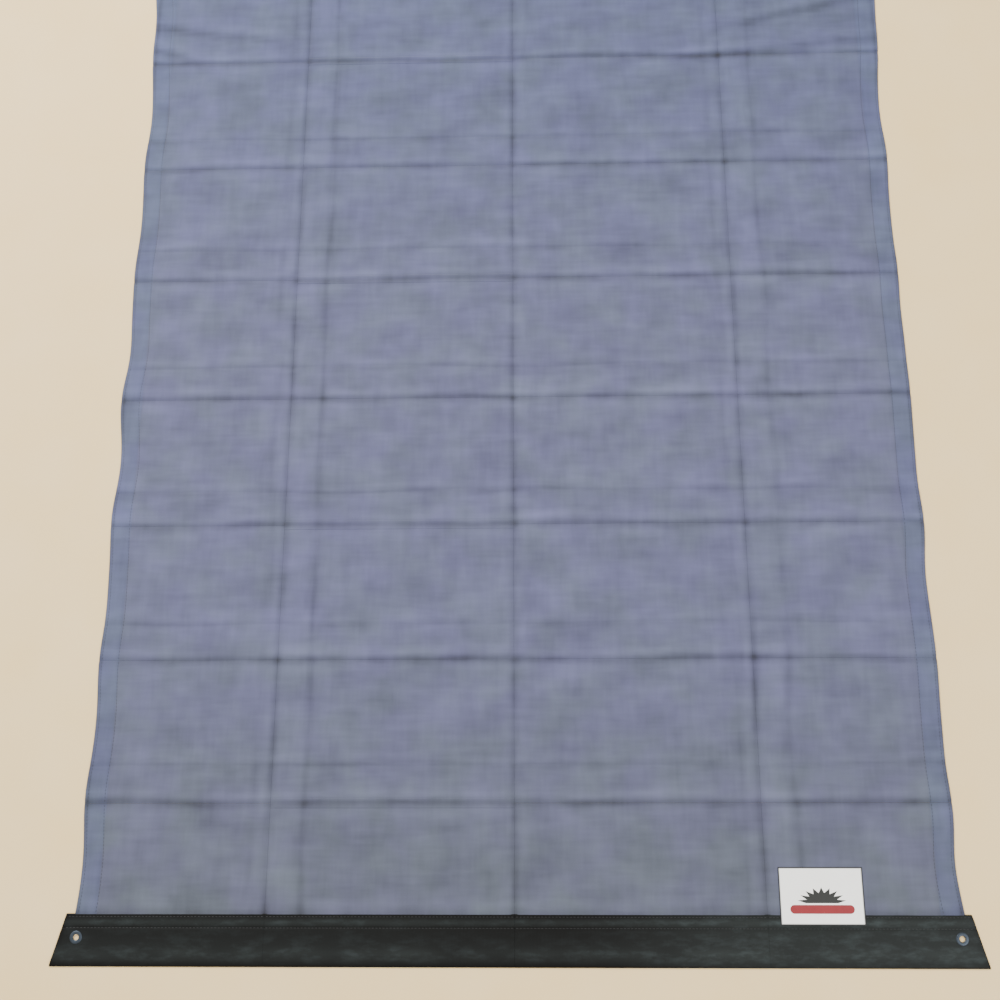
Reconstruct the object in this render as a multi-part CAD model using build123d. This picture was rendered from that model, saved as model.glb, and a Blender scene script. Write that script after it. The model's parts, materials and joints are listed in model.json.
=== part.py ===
"""Folding solar blanket.

Thirty-two thin photovoltaic panels are sewn to a textile carrier in eight rows of four.
The two outer columns fold in over the inner ones, the halves fold together at the centre
line, and the rows then stack back and forth.  Every crease is a strip of bare carrier, and
each panel carries its own piece of it, so each panel is one folding body.

The frame: millimetres, +Z up, the blanket lies on Z = 0, +Y runs from the near end, with the
label, to the far end, with the junction box.  The origin is the middle of the underside.
Columns a, b, c and d run from -X to +X, and rows 1 to 8 run from the near end.
"""
from build123d import *
import os

# Sheet layout
ROW_COUNT = 8
ROW_PITCH = 177.0           # crease to crease along Y
INNER_WIDTH = 300.0         # columns b and c, crease to crease
OUTER_WIDTH = 228.0         # columns a and d, crease to side edge; narrower, so they tuck inside
CREASE_GAP = 0.3            # between the carriers of two panels that fold on each other
CREASE_MARGIN = 12.0        # bare carrier on each side of a crease
SIDE_HEM_WIDTH = 25.0
SIDE_HEM_TO_PAD = 3.0

# Layers of one panel, from the floor up
CARRIER_THICKNESS = 0.5
LAMINATE_THICKNESS = 0.8
COVER_THICKNESS = 0.4
COVER_LIP = 2.0             # the clear cover reaches past the laminate by this much
HEM_THICKNESS = 0.5

# Black end bands
BAND_WIDTH = 48.0           # how far a band reaches over the carrier
BAND_OVERHANG = 12.0        # how far it stands out past the carrier's end
BAND_WING_INNER = 12.0      # how far its tips stand out sideways, on the sheet side
BAND_WING_OUTER = 28.0      # and at its outer edge
BAND_TO_PAD = 2.0

# Corner eyelets
EYELET_HOLE_RADIUS = 3.5
EYELET_WALL = 0.5
EYELET_FLANGE_WIDTH = 3.5
EYELET_FLANGE_THICKNESS = 0.3
EYELET_CLEARANCE = 0.05
EYELET_FROM_SIDE = 2.0      # hole centre, in from the carrier's side edge
EYELET_FROM_END = 21.0      # hole centre, in from the carrier's end

# Sewn label
LABEL_WIDTH = 100.0
LABEL_HEIGHT = 66.0
LABEL_THICKNESS = 0.25
LABEL_FROM_CREASE = 15.0
LABEL_FROM_END = 36.0

# Copper ribbons between the panels
RIBBON_WIDTH = 6.0
RIBBON_THICKNESS = 0.25
RIBBON_SPACING = 60.0       # between the two ribbons of a panel
BUS_MARGIN = 12.0           # bare carrier for the cross ribbon, beside the far band
RIBBON_CLEARANCE = 0.2      # around a ribbon in its slot

# Junction box on its tab
TAB_MARGIN = 5.0            # of the tab, beside the box
BOX_STANDOFF = 3.0          # from the far band to the box
BOX_WIDTH = 60.0
BOX_DEPTH = 50.0
BOX_WALL = 1.6
BOX_HEADROOM = 0.9          # from the tallest piece inside to the seal
SEAL_THICKNESS = 0.6
SEAL_WIDTH = 1.2
LID_THICKNESS = 2.4
BOX_CORNER_RADIUS = 4.0
BOSS_RADIUS = 3.0
BOSS_INTO_WALL = 0.8        # how far the bosses and the wall share their plastic
SCREW_RADIUS = 1.2
SCREW_CLEARANCE = 0.05
SCREW_HEAD_RADIUS = 2.2
SCREW_HEAD_HEIGHT = 1.2
SCREW_DEPTH = 8.0           # of thread below the seal
BOARD_WIDTH = 40.0
BOARD_DEPTH = 28.0
BOARD_THICKNESS = 1.6
DIODE_SIZE = (5.0, 8.0, 3.0)
DIODE_COUNT = 3
DIODE_SPACING = 11.0
TERMINAL_SIZE = (7.0, 7.0, 6.0)
TERMINAL_SPACING = 26.0
BOARD_PART_GAP = 4.0        # from the board's edge to the diodes and the terminals
TAIL_TO_BOARD = 3.0         # from where the lead tails rise to the board
SOCKET_RADIUS = 4.5
SOCKET_LENGTH = 10.0
SOCKET_FLANGE_LIP = 0.7
SOCKET_FLANGE_THICKNESS = 1.5
SOCKET_CLEARANCE = 0.05
CONTACT_RADIUS = 1.6
CONTACT_SPACING = 4.4
CONTACT_DEPTH = 7.0

# Places that follow from the sizes above
SHEET_LENGTH = ROW_COUNT * ROW_PITCH
HALF_WIDTH = INNER_WIDTH + OUTER_WIDTH
BOX_REACH = BOX_STANDOFF + BOX_DEPTH
OVERALL_LENGTH = SHEET_LENGTH + 2 * BAND_OVERHANG + BOX_REACH + SOCKET_LENGTH
NEAR_END = BAND_OVERHANG - OVERALL_LENGTH / 2
FAR_END = NEAR_END + SHEET_LENGTH
LAMINATE_TOP = CARRIER_THICKNESS + LAMINATE_THICKNESS
PAD_TOP = LAMINATE_TOP + COVER_THICKNESS
EYELET_BARREL_RADIUS = EYELET_HOLE_RADIUS + EYELET_WALL
EYELET_FLANGE_RADIUS = EYELET_BARREL_RADIUS + EYELET_FLANGE_WIDTH
COLUMN_SPANS = {
    "a": (-HALF_WIDTH, -INNER_WIDTH),
    "b": (-INNER_WIDTH, 0.0),
    "c": (0.0, INNER_WIDTH),
    "d": (INNER_WIDTH, HALF_WIDTH),
}
BOX_CENTRE_X = sum(COLUMN_SPANS["b"]) / 2
BOX_NEAR = FAR_END + BAND_OVERHANG + BOX_STANDOFF
BOX_BOTTOM = CARRIER_THICKNESS
BOX_FLOOR = BOX_BOTTOM + BOX_WALL
SOCKET_FLANGE_RADIUS = SOCKET_RADIUS + SOCKET_FLANGE_LIP
SOCKET_HEIGHT = BOX_FLOOR + SOCKET_FLANGE_RADIUS + SOCKET_CLEARANCE
BOARD_TOP = BOX_FLOOR + BOARD_THICKNESS
BOARD_NEAR = BOX_NEAR + (BOX_DEPTH - BOARD_DEPTH) / 2
TALLEST_INSIDE = max(SOCKET_HEIGHT + SOCKET_FLANGE_RADIUS, BOARD_TOP + max(DIODE_SIZE[2], TERMINAL_SIZE[2]))
BOX_RIM = TALLEST_INSIDE + BOX_HEADROOM
TERMINAL_NEAR = BOARD_NEAR + BOARD_PART_GAP
TAIL_RISE = BOARD_NEAR - TAIL_TO_BOARD


def block(x, y, z):
    """A box from three (low, high) pairs."""
    size = [high - low for low, high in (x, y, z)]
    centre = [(high + low) / 2 for low, high in (x, y, z)]
    return Pos(*centre) * Box(*size)


def post(x, y, radius, z):
    """An upright cylinder over the (low, high) pair z."""
    low, high = z
    return Pos(x, y, (low + high) / 2) * Cylinder(radius, high - low)


def carrier_span(column):
    """The carrier's (low, high) X in a column, with half the crease gap left at each crease."""
    low, high = COLUMN_SPANS[column]
    if column != "a":
        low += CREASE_GAP / 2
    if column != "d":
        high -= CREASE_GAP / 2
    return low, high


def row_span(row):
    """The carrier's (low, high) Y in a row, with half the crease gap left at each crease."""
    low = NEAR_END + (row - 1) * ROW_PITCH
    high = low + ROW_PITCH
    if row > 1:
        low += CREASE_GAP / 2
    if row < ROW_COUNT:
        high -= CREASE_GAP / 2
    return low, high


def pad_span_x(column):
    """The laminate's (low, high) X in a column."""
    low, high = COLUMN_SPANS[column]
    side = SIDE_HEM_WIDTH + SIDE_HEM_TO_PAD + COVER_LIP
    inner = CREASE_MARGIN + COVER_LIP
    return low + (side if column == "a" else inner), high - (side if column == "d" else inner)


def pad_span_y(row):
    """The laminate's (low, high) Y in a row."""
    low = NEAR_END + (row - 1) * ROW_PITCH
    high = low + ROW_PITCH
    low += (BAND_WIDTH + BAND_TO_PAD if row == 1 else CREASE_MARGIN) + COVER_LIP
    high -= (BAND_WIDTH + BUS_MARGIN if row == ROW_COUNT else CREASE_MARGIN) + COVER_LIP
    return low, high


def grown(span, amount):
    """A (low, high) pair made wider by amount at both ends."""
    return span[0] - amount, span[1] + amount


def eyelet_place(side, end):
    """The (x, y) of a corner eyelet: side is -1 or 1, end is "near" or "far"."""
    x = side * (HALF_WIDTH - EYELET_FROM_SIDE)
    y = NEAR_END + EYELET_FROM_END if end == "near" else FAR_END - EYELET_FROM_END
    return x, y


def eyelet_seat(side, end):
    """What an eyelet and its washer take out of the cloth around them."""
    x, y = eyelet_place(side, end)
    barrel = post(x, y, EYELET_BARREL_RADIUS + EYELET_CLEARANCE, (0, PAD_TOP))
    return barrel + post(x, y, EYELET_FLANGE_RADIUS + EYELET_CLEARANCE, (0, CARRIER_THICKNESS))


def eyelet(side, end):
    """A pressed eyelet and the washer that it is closed over."""
    x, y = eyelet_place(side, end)
    top = PAD_TOP + EYELET_FLANGE_THICKNESS
    barrel = post(x, y, EYELET_BARREL_RADIUS, (0, top))
    flange = post(x, y, EYELET_FLANGE_RADIUS, (PAD_TOP, top))
    hole = post(x, y, EYELET_HOLE_RADIUS, (0, top))
    washer = post(x, y, EYELET_FLANGE_RADIUS, (0, CARRIER_THICKNESS))
    washer -= post(x, y, EYELET_BARREL_RADIUS + EYELET_CLEARANCE, (0, CARRIER_THICKNESS))
    return [barrel + flange - hole, washer]


def corner_of(row, column):
    """The (side, end) of the eyelet in a panel, or None."""
    ends = {1: "near", ROW_COUNT: "far"}
    sides = {"a": -1, "d": 1}
    if row in ends and column in sides:
        return sides[column], ends[row]
    return None


def carrier(row, column):
    """One panel's piece of the carrier cloth, out to the middle of its creases."""
    cloth = block(carrier_span(column), row_span(row), (0, CARRIER_THICKNESS))
    corner = corner_of(row, column)
    if corner:
        cloth -= eyelet_seat(*corner)
    return cloth


def side_hem(row, column):
    """The turned hem on the outer edge of column a or d, between the end bands."""
    low, high = COLUMN_SPANS[column]
    x = (low, low + SIDE_HEM_WIDTH) if column == "a" else (high - SIDE_HEM_WIDTH, high)
    near, far = row_span(row)
    if row == 1:
        near += BAND_WIDTH
    if row == ROW_COUNT:
        far -= BAND_WIDTH
    return block(x, (near, far), (CARRIER_THICKNESS, CARRIER_THICKNESS + HEM_THICKNESS))


def ribbon_places(column):
    """The X of a panel's two ribbons."""
    low, high = pad_span_x(column)
    middle = (low + high) / 2
    return middle - RIBBON_SPACING / 2, middle + RIBBON_SPACING / 2


def ribbons(row, column):
    """The copper ribbons from a laminate's ends to the creases, and the far end's cross ribbon."""
    z = (CARRIER_THICKNESS, CARRIER_THICKNESS + RIBBON_THICKNESS)
    near, far = row_span(row)
    pad_near, pad_far = grown(pad_span_y(row), COVER_LIP)
    runs = []
    if row > 1:
        runs.append((near, pad_near))
    if row < ROW_COUNT:
        runs.append((pad_far, far))
    pieces = [
        block((x - RIBBON_WIDTH / 2, x + RIBBON_WIDTH / 2), run, z)
        for x in ribbon_places(column)
        for run in runs
    ]
    if row == ROW_COUNT:
        low, high = carrier_span(column)
        low += SIDE_HEM_WIDTH if column == "a" else 0
        high -= SIDE_HEM_WIDTH if column == "d" else 0
        bus_far = FAR_END - BAND_WIDTH
        pieces.append(block((low, high), (bus_far - RIBBON_WIDTH, bus_far), z))
    return pieces


def panel(row, column):
    """One folding panel: carrier, laminate, clear cover, ribbons and, at the sides, the hem."""
    x = pad_span_x(column)
    y = pad_span_y(row)
    laminate = block(x, y, (CARRIER_THICKNESS, LAMINATE_TOP))
    cover = block(grown(x, COVER_LIP), grown(y, COVER_LIP), (LAMINATE_TOP, PAD_TOP))
    pieces = [carrier(row, column), laminate, cover, *ribbons(row, column)]
    if column in ("a", "d"):
        pieces.append(side_hem(row, column))
    return pieces


def tail_places():
    """The X of the two lead tails."""
    return BOX_CENTRE_X - TERMINAL_SPACING / 2, BOX_CENTRE_X + TERMINAL_SPACING / 2


def lead_tail(x):
    """A flat lead from the cross ribbon, under the band and the box, up to its terminal."""
    across = (x - RIBBON_WIDTH / 2, x + RIBBON_WIDTH / 2)
    bottom = CARRIER_THICKNESS
    landing = BOARD_TOP + TERMINAL_SIZE[2] / 2
    run = block(across, (FAR_END - BAND_WIDTH, TAIL_RISE), (bottom, bottom + RIBBON_THICKNESS))
    run += block(across, (TAIL_RISE - RIBBON_THICKNESS, TAIL_RISE), (bottom, landing))
    return run + block(across, (TAIL_RISE, TERMINAL_NEAR), (landing - RIBBON_THICKNESS, landing))


def tail_slot(x):
    """What a lead tail takes out of the band and the box's floor."""
    across = grown((x, x), RIBBON_WIDTH / 2 + RIBBON_CLEARANCE)
    top = CARRIER_THICKNESS + RIBBON_THICKNESS + RIBBON_CLEARANCE
    run = block(across, (FAR_END - BAND_WIDTH, TAIL_RISE), (CARRIER_THICKNESS, top))
    shaft = grown((TAIL_RISE - RIBBON_THICKNESS, TAIL_RISE), RIBBON_CLEARANCE)
    return run + block(across, shaft, (BOX_BOTTOM, BOX_FLOOR))


def band(end, column):
    """One column's length of an end band, wrapped over the carrier's end and, at the tips, its side."""
    low, high = carrier_span(column)
    inner, outer = (NEAR_END + BAND_WIDTH, NEAR_END - BAND_OVERHANG)
    if end == "far":
        inner, outer = (FAR_END - BAND_WIDTH, FAR_END + BAND_OVERHANG)
    left_inner = low - (BAND_WING_INNER if column == "a" else 0)
    left_outer = low - (BAND_WING_OUTER if column == "a" else 0)
    right_inner = high + (BAND_WING_INNER if column == "d" else 0)
    right_outer = high + (BAND_WING_OUTER if column == "d" else 0)
    corners = [(left_inner, inner), (right_inner, inner), (right_outer, outer), (left_outer, outer)]
    outline = make_face(Polyline(*corners, close=True))
    cloth = extrude(outline, PAD_TOP, dir=(0, 0, 1))
    row = 1 if end == "near" else ROW_COUNT
    cloth -= block((low, high), row_span(row), (0, CARRIER_THICKNESS))
    corner = corner_of(row, column)
    if corner:
        cloth -= eyelet_seat(*corner)
    if (end, column) == ("far", "b"):
        for x in tail_places():
            cloth -= tail_slot(x)
    return cloth


def label():
    """The sewn label on the near end of column d, over the band's edge."""
    left = INNER_WIDTH + LABEL_FROM_CREASE
    near = NEAR_END + LABEL_FROM_END
    z = (PAD_TOP, PAD_TOP + LABEL_THICKNESS)
    return block((left, left + LABEL_WIDTH), (near, near + LABEL_HEIGHT), z)


def box_outline(inset, z):
    """A prism of the box's plan shape, inset all round, over the (low, high) pair z."""
    plan = RectangleRounded(BOX_WIDTH - 2 * inset, BOX_DEPTH - 2 * inset, BOX_CORNER_RADIUS - inset)
    low, high = z
    return Pos(BOX_CENTRE_X, BOX_NEAR + BOX_DEPTH / 2, low) * extrude(plan, high - low, dir=(0, 0, 1))


def boss_places():
    """The (x, y) of the box's four screw bosses."""
    inset = BOX_WALL - BOSS_INTO_WALL + BOSS_RADIUS
    x = BOX_WIDTH / 2 - inset
    y = BOX_DEPTH / 2 - inset
    middle = BOX_NEAR + BOX_DEPTH / 2
    return [(BOX_CENTRE_X + i * x, middle + j * y) for i in (-1, 1) for j in (-1, 1)]


def along_y(radius, y, x=0.0):
    """A cylinder along Y over the (low, high) pair y, at x beside the socket's axis."""
    low, high = y
    place = Pos(BOX_CENTRE_X + x, (low + high) / 2, SOCKET_HEIGHT)
    return place * Rot(90, 0, 0) * Cylinder(radius, high - low)


def box_tab():
    """The cloth tab that holds the junction box off the far band."""
    x = grown((BOX_CENTRE_X, BOX_CENTRE_X), BOX_WIDTH / 2 + TAB_MARGIN)
    return block(x, (FAR_END + BAND_OVERHANG, BOX_NEAR + BOX_DEPTH), (0, CARRIER_THICKNESS))


def box_base():
    """The junction box's tray, with its bosses, socket hole and lead slots."""
    tray = box_outline(0, (BOX_BOTTOM, BOX_RIM)) - box_outline(BOX_WALL, (BOX_FLOOR, BOX_RIM))
    hole = SCREW_RADIUS + SCREW_CLEARANCE
    for x, y in boss_places():
        tray += post(x, y, BOSS_RADIUS, (BOX_FLOOR, BOX_RIM))
        tray -= post(x, y, hole, (BOX_RIM - SCREW_DEPTH, BOX_RIM))
    far = BOX_NEAR + BOX_DEPTH
    tray -= along_y(SOCKET_RADIUS + SOCKET_CLEARANCE, (far - BOX_WALL, far))
    for x in tail_places():
        tray -= tail_slot(x)
    return tray


def box_seal():
    """The flat gasket between tray and lid, inside the screws' ring at the corners."""
    z = (BOX_RIM, BOX_RIM + SEAL_THICKNESS)
    ring = box_outline(0, z) - box_outline(SEAL_WIDTH, z)
    for x, y in boss_places():
        ring += post(x, y, BOSS_RADIUS, z)
        ring -= post(x, y, SCREW_RADIUS + SCREW_CLEARANCE, z)
    return ring


def box_lid():
    """The flat lid, with countersunk seats for the screw heads."""
    low = BOX_RIM + SEAL_THICKNESS
    top = low + LID_THICKNESS
    lid = box_outline(0, (low, top))
    for x, y in boss_places():
        lid -= post(x, y, SCREW_RADIUS + SCREW_CLEARANCE, (low, top))
        lid -= post(x, y, SCREW_HEAD_RADIUS + SCREW_CLEARANCE, (top - SCREW_HEAD_HEIGHT, top))
    return lid


def lid_screws():
    """The four lid screws."""
    top = BOX_RIM + SEAL_THICKNESS + LID_THICKNESS
    return [
        post(x, y, SCREW_RADIUS, (BOX_RIM - SCREW_DEPTH, top))
        + post(x, y, SCREW_HEAD_RADIUS, (top - SCREW_HEAD_HEIGHT, top))
        for x, y in boss_places()
    ]


def terminal_board():
    """The circuit board on the box's floor."""
    x = grown((BOX_CENTRE_X, BOX_CENTRE_X), BOARD_WIDTH / 2)
    return block(x, (BOARD_NEAR, BOARD_NEAR + BOARD_DEPTH), (BOX_FLOOR, BOARD_TOP))


def board_parts(size, places, near):
    """Blocks of one size on the board, at the X places, with their near faces at near."""
    width, depth, height = size
    y = (near, near + depth)
    return [block(grown((x, x), width / 2), y, (BOARD_TOP, BOARD_TOP + height)) for x in places]


def diodes():
    """The bypass and blocking diodes, at the board's far edge."""
    first = BOX_CENTRE_X - DIODE_SPACING * (DIODE_COUNT - 1) / 2
    places = [first + i * DIODE_SPACING for i in range(DIODE_COUNT)]
    near = BOARD_NEAR + BOARD_DEPTH - BOARD_PART_GAP - DIODE_SIZE[1]
    return board_parts(DIODE_SIZE, places, near)


def terminals():
    """The two lead terminals, at the board's near edge."""
    return board_parts(TERMINAL_SIZE, tail_places(), TERMINAL_NEAR)


def output_socket():
    """The two-contact output socket, through the box's far wall."""
    outside = BOX_NEAR + BOX_DEPTH
    inside = outside - BOX_WALL
    tip = outside + SOCKET_LENGTH
    body = along_y(SOCKET_RADIUS, (inside, tip))
    body += along_y(SOCKET_FLANGE_RADIUS, (inside - SOCKET_FLANGE_THICKNESS, inside))
    for side in (-1, 1):
        body -= along_y(CONTACT_RADIUS, (tip - CONTACT_DEPTH, tip), side * CONTACT_SPACING / 2)
    return body


def save(name, shape):
    """Writes one node, from a solid or a list of separate solids."""
    pieces = shape if isinstance(shape, list) else [shape]
    solids = [solid for piece in pieces for solid in piece.solids()]
    export_step(Compound(children=solids), f"parts/{name}.step")


def main():
    os.makedirs("parts", exist_ok=True)
    for row in range(1, ROW_COUNT + 1):
        for column in COLUMN_SPANS:
            save(f"panel_{row}{column}", panel(row, column))
    for end in ("near", "far"):
        for column in COLUMN_SPANS:
            save(f"{end}_band_{column}", band(end, column))
        save(f"{end}_eyelet_left", eyelet(-1, end))
        save(f"{end}_eyelet_right", eyelet(1, end))
    save("sewn_label", label())
    save("lead_tails", [lead_tail(x) for x in tail_places()])
    save("box_tab", box_tab())
    save("box_base", box_base())
    save("box_seal", box_seal())
    save("box_lid", box_lid())
    save("lid_screws", lid_screws())
    save("terminal_board", terminal_board())
    save("diodes", diodes())
    save("terminals", terminals())
    save("output_socket", output_socket())


if __name__ == "__main__":
    main()
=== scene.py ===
"""Looks of the folding solar blanket: cloth panels, end bands, label, eyelets and junction box.

Lengths are in metres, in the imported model's frame. +Y runs from the near end, with the label, to the
far end, with the junction box, and the blanket lies on Z = 0 with its faces up.
"""
import json
import logging
import math
from dataclasses import dataclass, field
from enum import Enum
from typing import Any

import bpy
import numpy as np
from mathutils import Matrix, Vector


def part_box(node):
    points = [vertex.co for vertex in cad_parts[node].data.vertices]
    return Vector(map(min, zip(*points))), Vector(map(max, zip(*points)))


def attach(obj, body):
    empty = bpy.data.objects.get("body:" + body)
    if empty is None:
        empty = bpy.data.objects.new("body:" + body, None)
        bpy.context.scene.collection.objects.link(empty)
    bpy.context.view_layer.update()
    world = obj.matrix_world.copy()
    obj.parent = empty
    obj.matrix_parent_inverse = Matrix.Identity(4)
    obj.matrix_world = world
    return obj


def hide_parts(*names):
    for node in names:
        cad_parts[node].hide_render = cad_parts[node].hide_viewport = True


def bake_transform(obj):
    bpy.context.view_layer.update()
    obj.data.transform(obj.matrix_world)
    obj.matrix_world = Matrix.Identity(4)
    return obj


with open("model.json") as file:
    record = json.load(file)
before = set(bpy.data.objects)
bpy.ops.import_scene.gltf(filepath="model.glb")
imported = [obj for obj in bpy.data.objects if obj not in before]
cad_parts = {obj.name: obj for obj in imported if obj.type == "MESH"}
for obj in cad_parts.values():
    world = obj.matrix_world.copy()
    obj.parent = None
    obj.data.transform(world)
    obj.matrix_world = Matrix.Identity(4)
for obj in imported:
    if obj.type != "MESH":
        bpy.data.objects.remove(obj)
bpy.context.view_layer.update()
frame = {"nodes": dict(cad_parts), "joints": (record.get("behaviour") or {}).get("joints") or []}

LOG = logging.getLogger("solar_blanket")
MM = 0.001
ROWS = range(1, 9)


class Column(Enum):
    """The four columns of panels, from -X to +X."""

    LEFT = "a"
    INNER_LEFT = "b"
    INNER_RIGHT = "c"
    RIGHT = "d"


class End(Enum):
    """The two ends of the blanket."""

    NEAR = "near"
    FAR = "far"


# --------------------------------------------------------------------------- nodes, colours, meshes


def add_node(tree: bpy.types.NodeTree, kind: str, inputs: dict | None = None,
             **settings: Any) -> bpy.types.Node:
    """Adds a node with its settings, and sets or links its inputs.

    Args:
        tree: The node tree.
        kind: The node's type name.
        inputs: Socket name or index, to a value or to the output socket that feeds it.
        **settings: Values for the node's own properties.

    Returns:
        The new node.
    """
    made = tree.nodes.new(kind)
    for key, value in settings.items():
        setattr(made, key, value)
    for key, value in (inputs or {}).items():
        if isinstance(value, bpy.types.NodeSocket):
            tree.links.new(value, made.inputs[key])
        else:
            made.inputs[key].default_value = value
    return made


def rgb(code: str) -> tuple[float, float, float, float]:
    """Turns an sRGB hex code to a linear colour.

    Args:
        code: Six hex digits after a hash.

    Returns:
        Linear red, green, blue and an alpha of one.
    """
    parts = [int(code[i:i + 2], 16) / 255 for i in (1, 3, 5)]
    linear = [c / 12.92 if c <= 0.04045 else ((c + 0.055) / 1.055) ** 2.4 for c in parts]
    return (*linear, 1.0)


def band_scale(spacing: float) -> float:
    """Returns the Wave texture's scale for bands that far apart."""
    return math.pi / (10 * spacing)


def blank_material(name: str) -> tuple:
    """Starts a node material.

    Args:
        name: The material's name.

    Returns:
        The material, its node tree and its Object coordinates.
    """
    material = bpy.data.materials.new(name)
    material.use_nodes = True
    tree = material.node_tree
    return material, tree, add_node(tree, "ShaderNodeTexCoord").outputs["Object"]


def dress_shader(tree: bpy.types.NodeTree, colour: bpy.types.NodeSocket, height: bpy.types.NodeSocket,
                 bump: tuple[float, float], values: dict[str, float]) -> None:
    """Feeds a material's shader its colour and relief, and sets what is even all over.

    Args:
        tree: The material's node tree.
        colour: The base colour.
        height: The relief, from 0 to 1.
        bump: The relief's strength and its real height.
        values: Values of the shader's other sockets.
    """
    shader = tree.nodes["Principled BSDF"]
    strength, distance = bump
    relief = add_node(tree, "ShaderNodeBump", {"Height": height, "Strength": strength, "Distance": distance})
    tree.links.new(colour, shader.inputs["Base Color"])
    tree.links.new(relief.outputs[0], shader.inputs["Normal"])
    for socket, value in values.items():
        shader.inputs[socket].default_value = value


def add_object(name: str, data: bpy.types.ID) -> bpy.types.Object:
    """Makes an object of a mesh, a camera or a light, and links it to the scene.

    Args:
        name: The object's name.
        data: The mesh, camera or light.

    Returns:
        The linked object.
    """
    made = bpy.data.objects.new(name, data)
    bpy.context.scene.collection.objects.link(made)
    return made


def make_piece(name: str, points: np.ndarray, faces: list, materials: list,
               index: list | None = None, smooth: bool = True) -> bpy.types.Object:
    """Makes an object at the origin, with its place in its mesh.

    Args:
        name: The piece's name.
        points: One row of x, y, z for each vertex.
        faces: Vertex numbers of each face, counter-clockwise from outside.
        materials: The piece's materials.
        index: The material number of each face, or None for the first.
        smooth: Whether faces are shaded smoothly.

    Returns:
        The linked object.
    """
    mesh = bpy.data.meshes.new(name)
    mesh.from_pydata(np.asarray(points, float).tolist(), [], faces)
    for material in materials:
        mesh.materials.append(material)
    if index is not None:
        mesh.polygons.foreach_set("material_index", index)
    mesh.polygons.foreach_set("use_smooth", [smooth] * len(mesh.polygons))
    mesh.update()
    return add_object(name, mesh)


def plain_mesh(piece: bpy.types.Object) -> bpy.types.Object:
    """Applies a piece's modifiers by turning the evaluated object into a plain mesh.

    Args:
        piece: The object with live modifiers.

    Returns:
        The same object, with the result as its mesh and no modifiers.
    """
    depsgraph = bpy.context.evaluated_depsgraph_get()
    mesh = bpy.data.meshes.new_from_object(piece.evaluated_get(depsgraph))
    piece.modifiers.clear()
    piece.data = mesh
    return piece


def start_tree(name: str, inputs: dict[str, str], output: str) -> tuple:
    """Starts a geometry node tree with named sockets.

    Args:
        name: The tree's name.
        inputs: Each input's name and kind, such as Float.
        output: The name of the geometry that comes out.

    Returns:
        The tree, and its inputs by name.
    """
    tree = bpy.data.node_groups.new(name, "GeometryNodeTree")
    for socket, kind in inputs.items():
        tree.interface.new_socket(socket, in_out="INPUT", socket_type=f"NodeSocket{kind}")
    tree.interface.new_socket(output, in_out="OUTPUT", socket_type="NodeSocketGeometry")
    return tree, add_node(tree, "NodeGroupInput").outputs


def steps_along(tree: bpy.types.NodeTree, lines: bpy.types.NodeSocket,
                spacing: bpy.types.NodeSocket) -> bpy.types.NodeSocket:
    """Returns points spaced evenly along lines, inside a geometry node tree."""
    curve = add_node(tree, "GeometryNodeMeshToCurve", {"Mesh": lines})
    return add_node(tree, "GeometryNodeResampleCurve", {
        "Curve": curve.outputs[0], "Length": spacing}, mode="LENGTH").outputs[0]


def end_tree(tree: bpy.types.NodeTree, placed: bpy.types.Node, material: bpy.types.Material) -> None:
    """Ends a geometry node tree: makes the instances real and gives them their material."""
    real = add_node(tree, "GeometryNodeRealizeInstances", {0: placed.outputs[0]})
    dressed = add_node(tree, "GeometryNodeSetMaterial", {
        "Geometry": real.outputs[0], "Material": material})
    add_node(tree, "NodeGroupOutput", {0: dressed.outputs[0]})


def run_tree(name: str, points: list, edges: list, tree: bpy.types.NodeTree,
             values: dict[str, Any]) -> bpy.types.Object:
    """Runs a geometry node tree on lines, and makes the result a plain mesh.

    Args:
        name: The piece's name.
        points: The lines' points.
        edges: The pairs of points that they join.
        tree: The node tree.
        values: Its inputs by name, apart from the lines.

    Returns:
        The piece.
    """
    mesh = bpy.data.meshes.new(name)
    mesh.from_pydata(points, edges, [])
    piece = add_object(name, mesh)
    modifier = piece.modifiers.new(tree.name, "NODES")
    modifier.node_group = tree
    for item in tree.interface.items_tree:
        if item.in_out == "INPUT" and item.name in values:
            modifier[item.identifier] = values[item.name]
    return plain_mesh(piece)


def cut(piece: bpy.types.Object, cutters: list) -> bpy.types.Object:
    """Cuts closed meshes out of a piece and removes them.

    Args:
        piece: The closed mesh to cut.
        cutters: The objects to take away.

    Returns:
        The piece, as a plain mesh.
    """
    for cutter in cutters:
        modifier = piece.modifiers.new("cut", "BOOLEAN")
        modifier.object = cutter
        modifier.operation = "DIFFERENCE"
        modifier.solver = "EXACT"
    plain_mesh(piece)
    for cutter in cutters:
        bpy.data.objects.remove(cutter)
    return piece


def set_attribute(piece: bpy.types.Object, name: str, values: np.ndarray) -> None:
    """Stores one number for each vertex, for a material to read.

    Args:
        piece: The mesh object.
        name: The attribute's name.
        values: One value for each vertex.
    """
    attribute = piece.data.attributes.new(name, "FLOAT", "POINT")
    attribute.data.foreach_set("value", np.asarray(values, np.float32))


def points_of(piece: bpy.types.Object) -> np.ndarray:
    """Returns a piece's vertices, one row of x, y, z each."""
    points = np.zeros(len(piece.data.vertices) * 3, np.float32)
    piece.data.vertices.foreach_get("co", points)
    return points.reshape(-1, 3).astype(float)


def ease(value: np.ndarray, low: float, high: float) -> np.ndarray:
    """Rises smoothly from 0 at low to 1 at high."""
    share = np.clip((value - low) / (high - low), 0, 1)
    return share * share * (3 - 2 * share)


def bell(value: np.ndarray, width: float) -> np.ndarray:
    """A bell curve of that width round zero, with its peak at 1."""
    return np.exp(-(value / width) ** 2)


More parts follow.
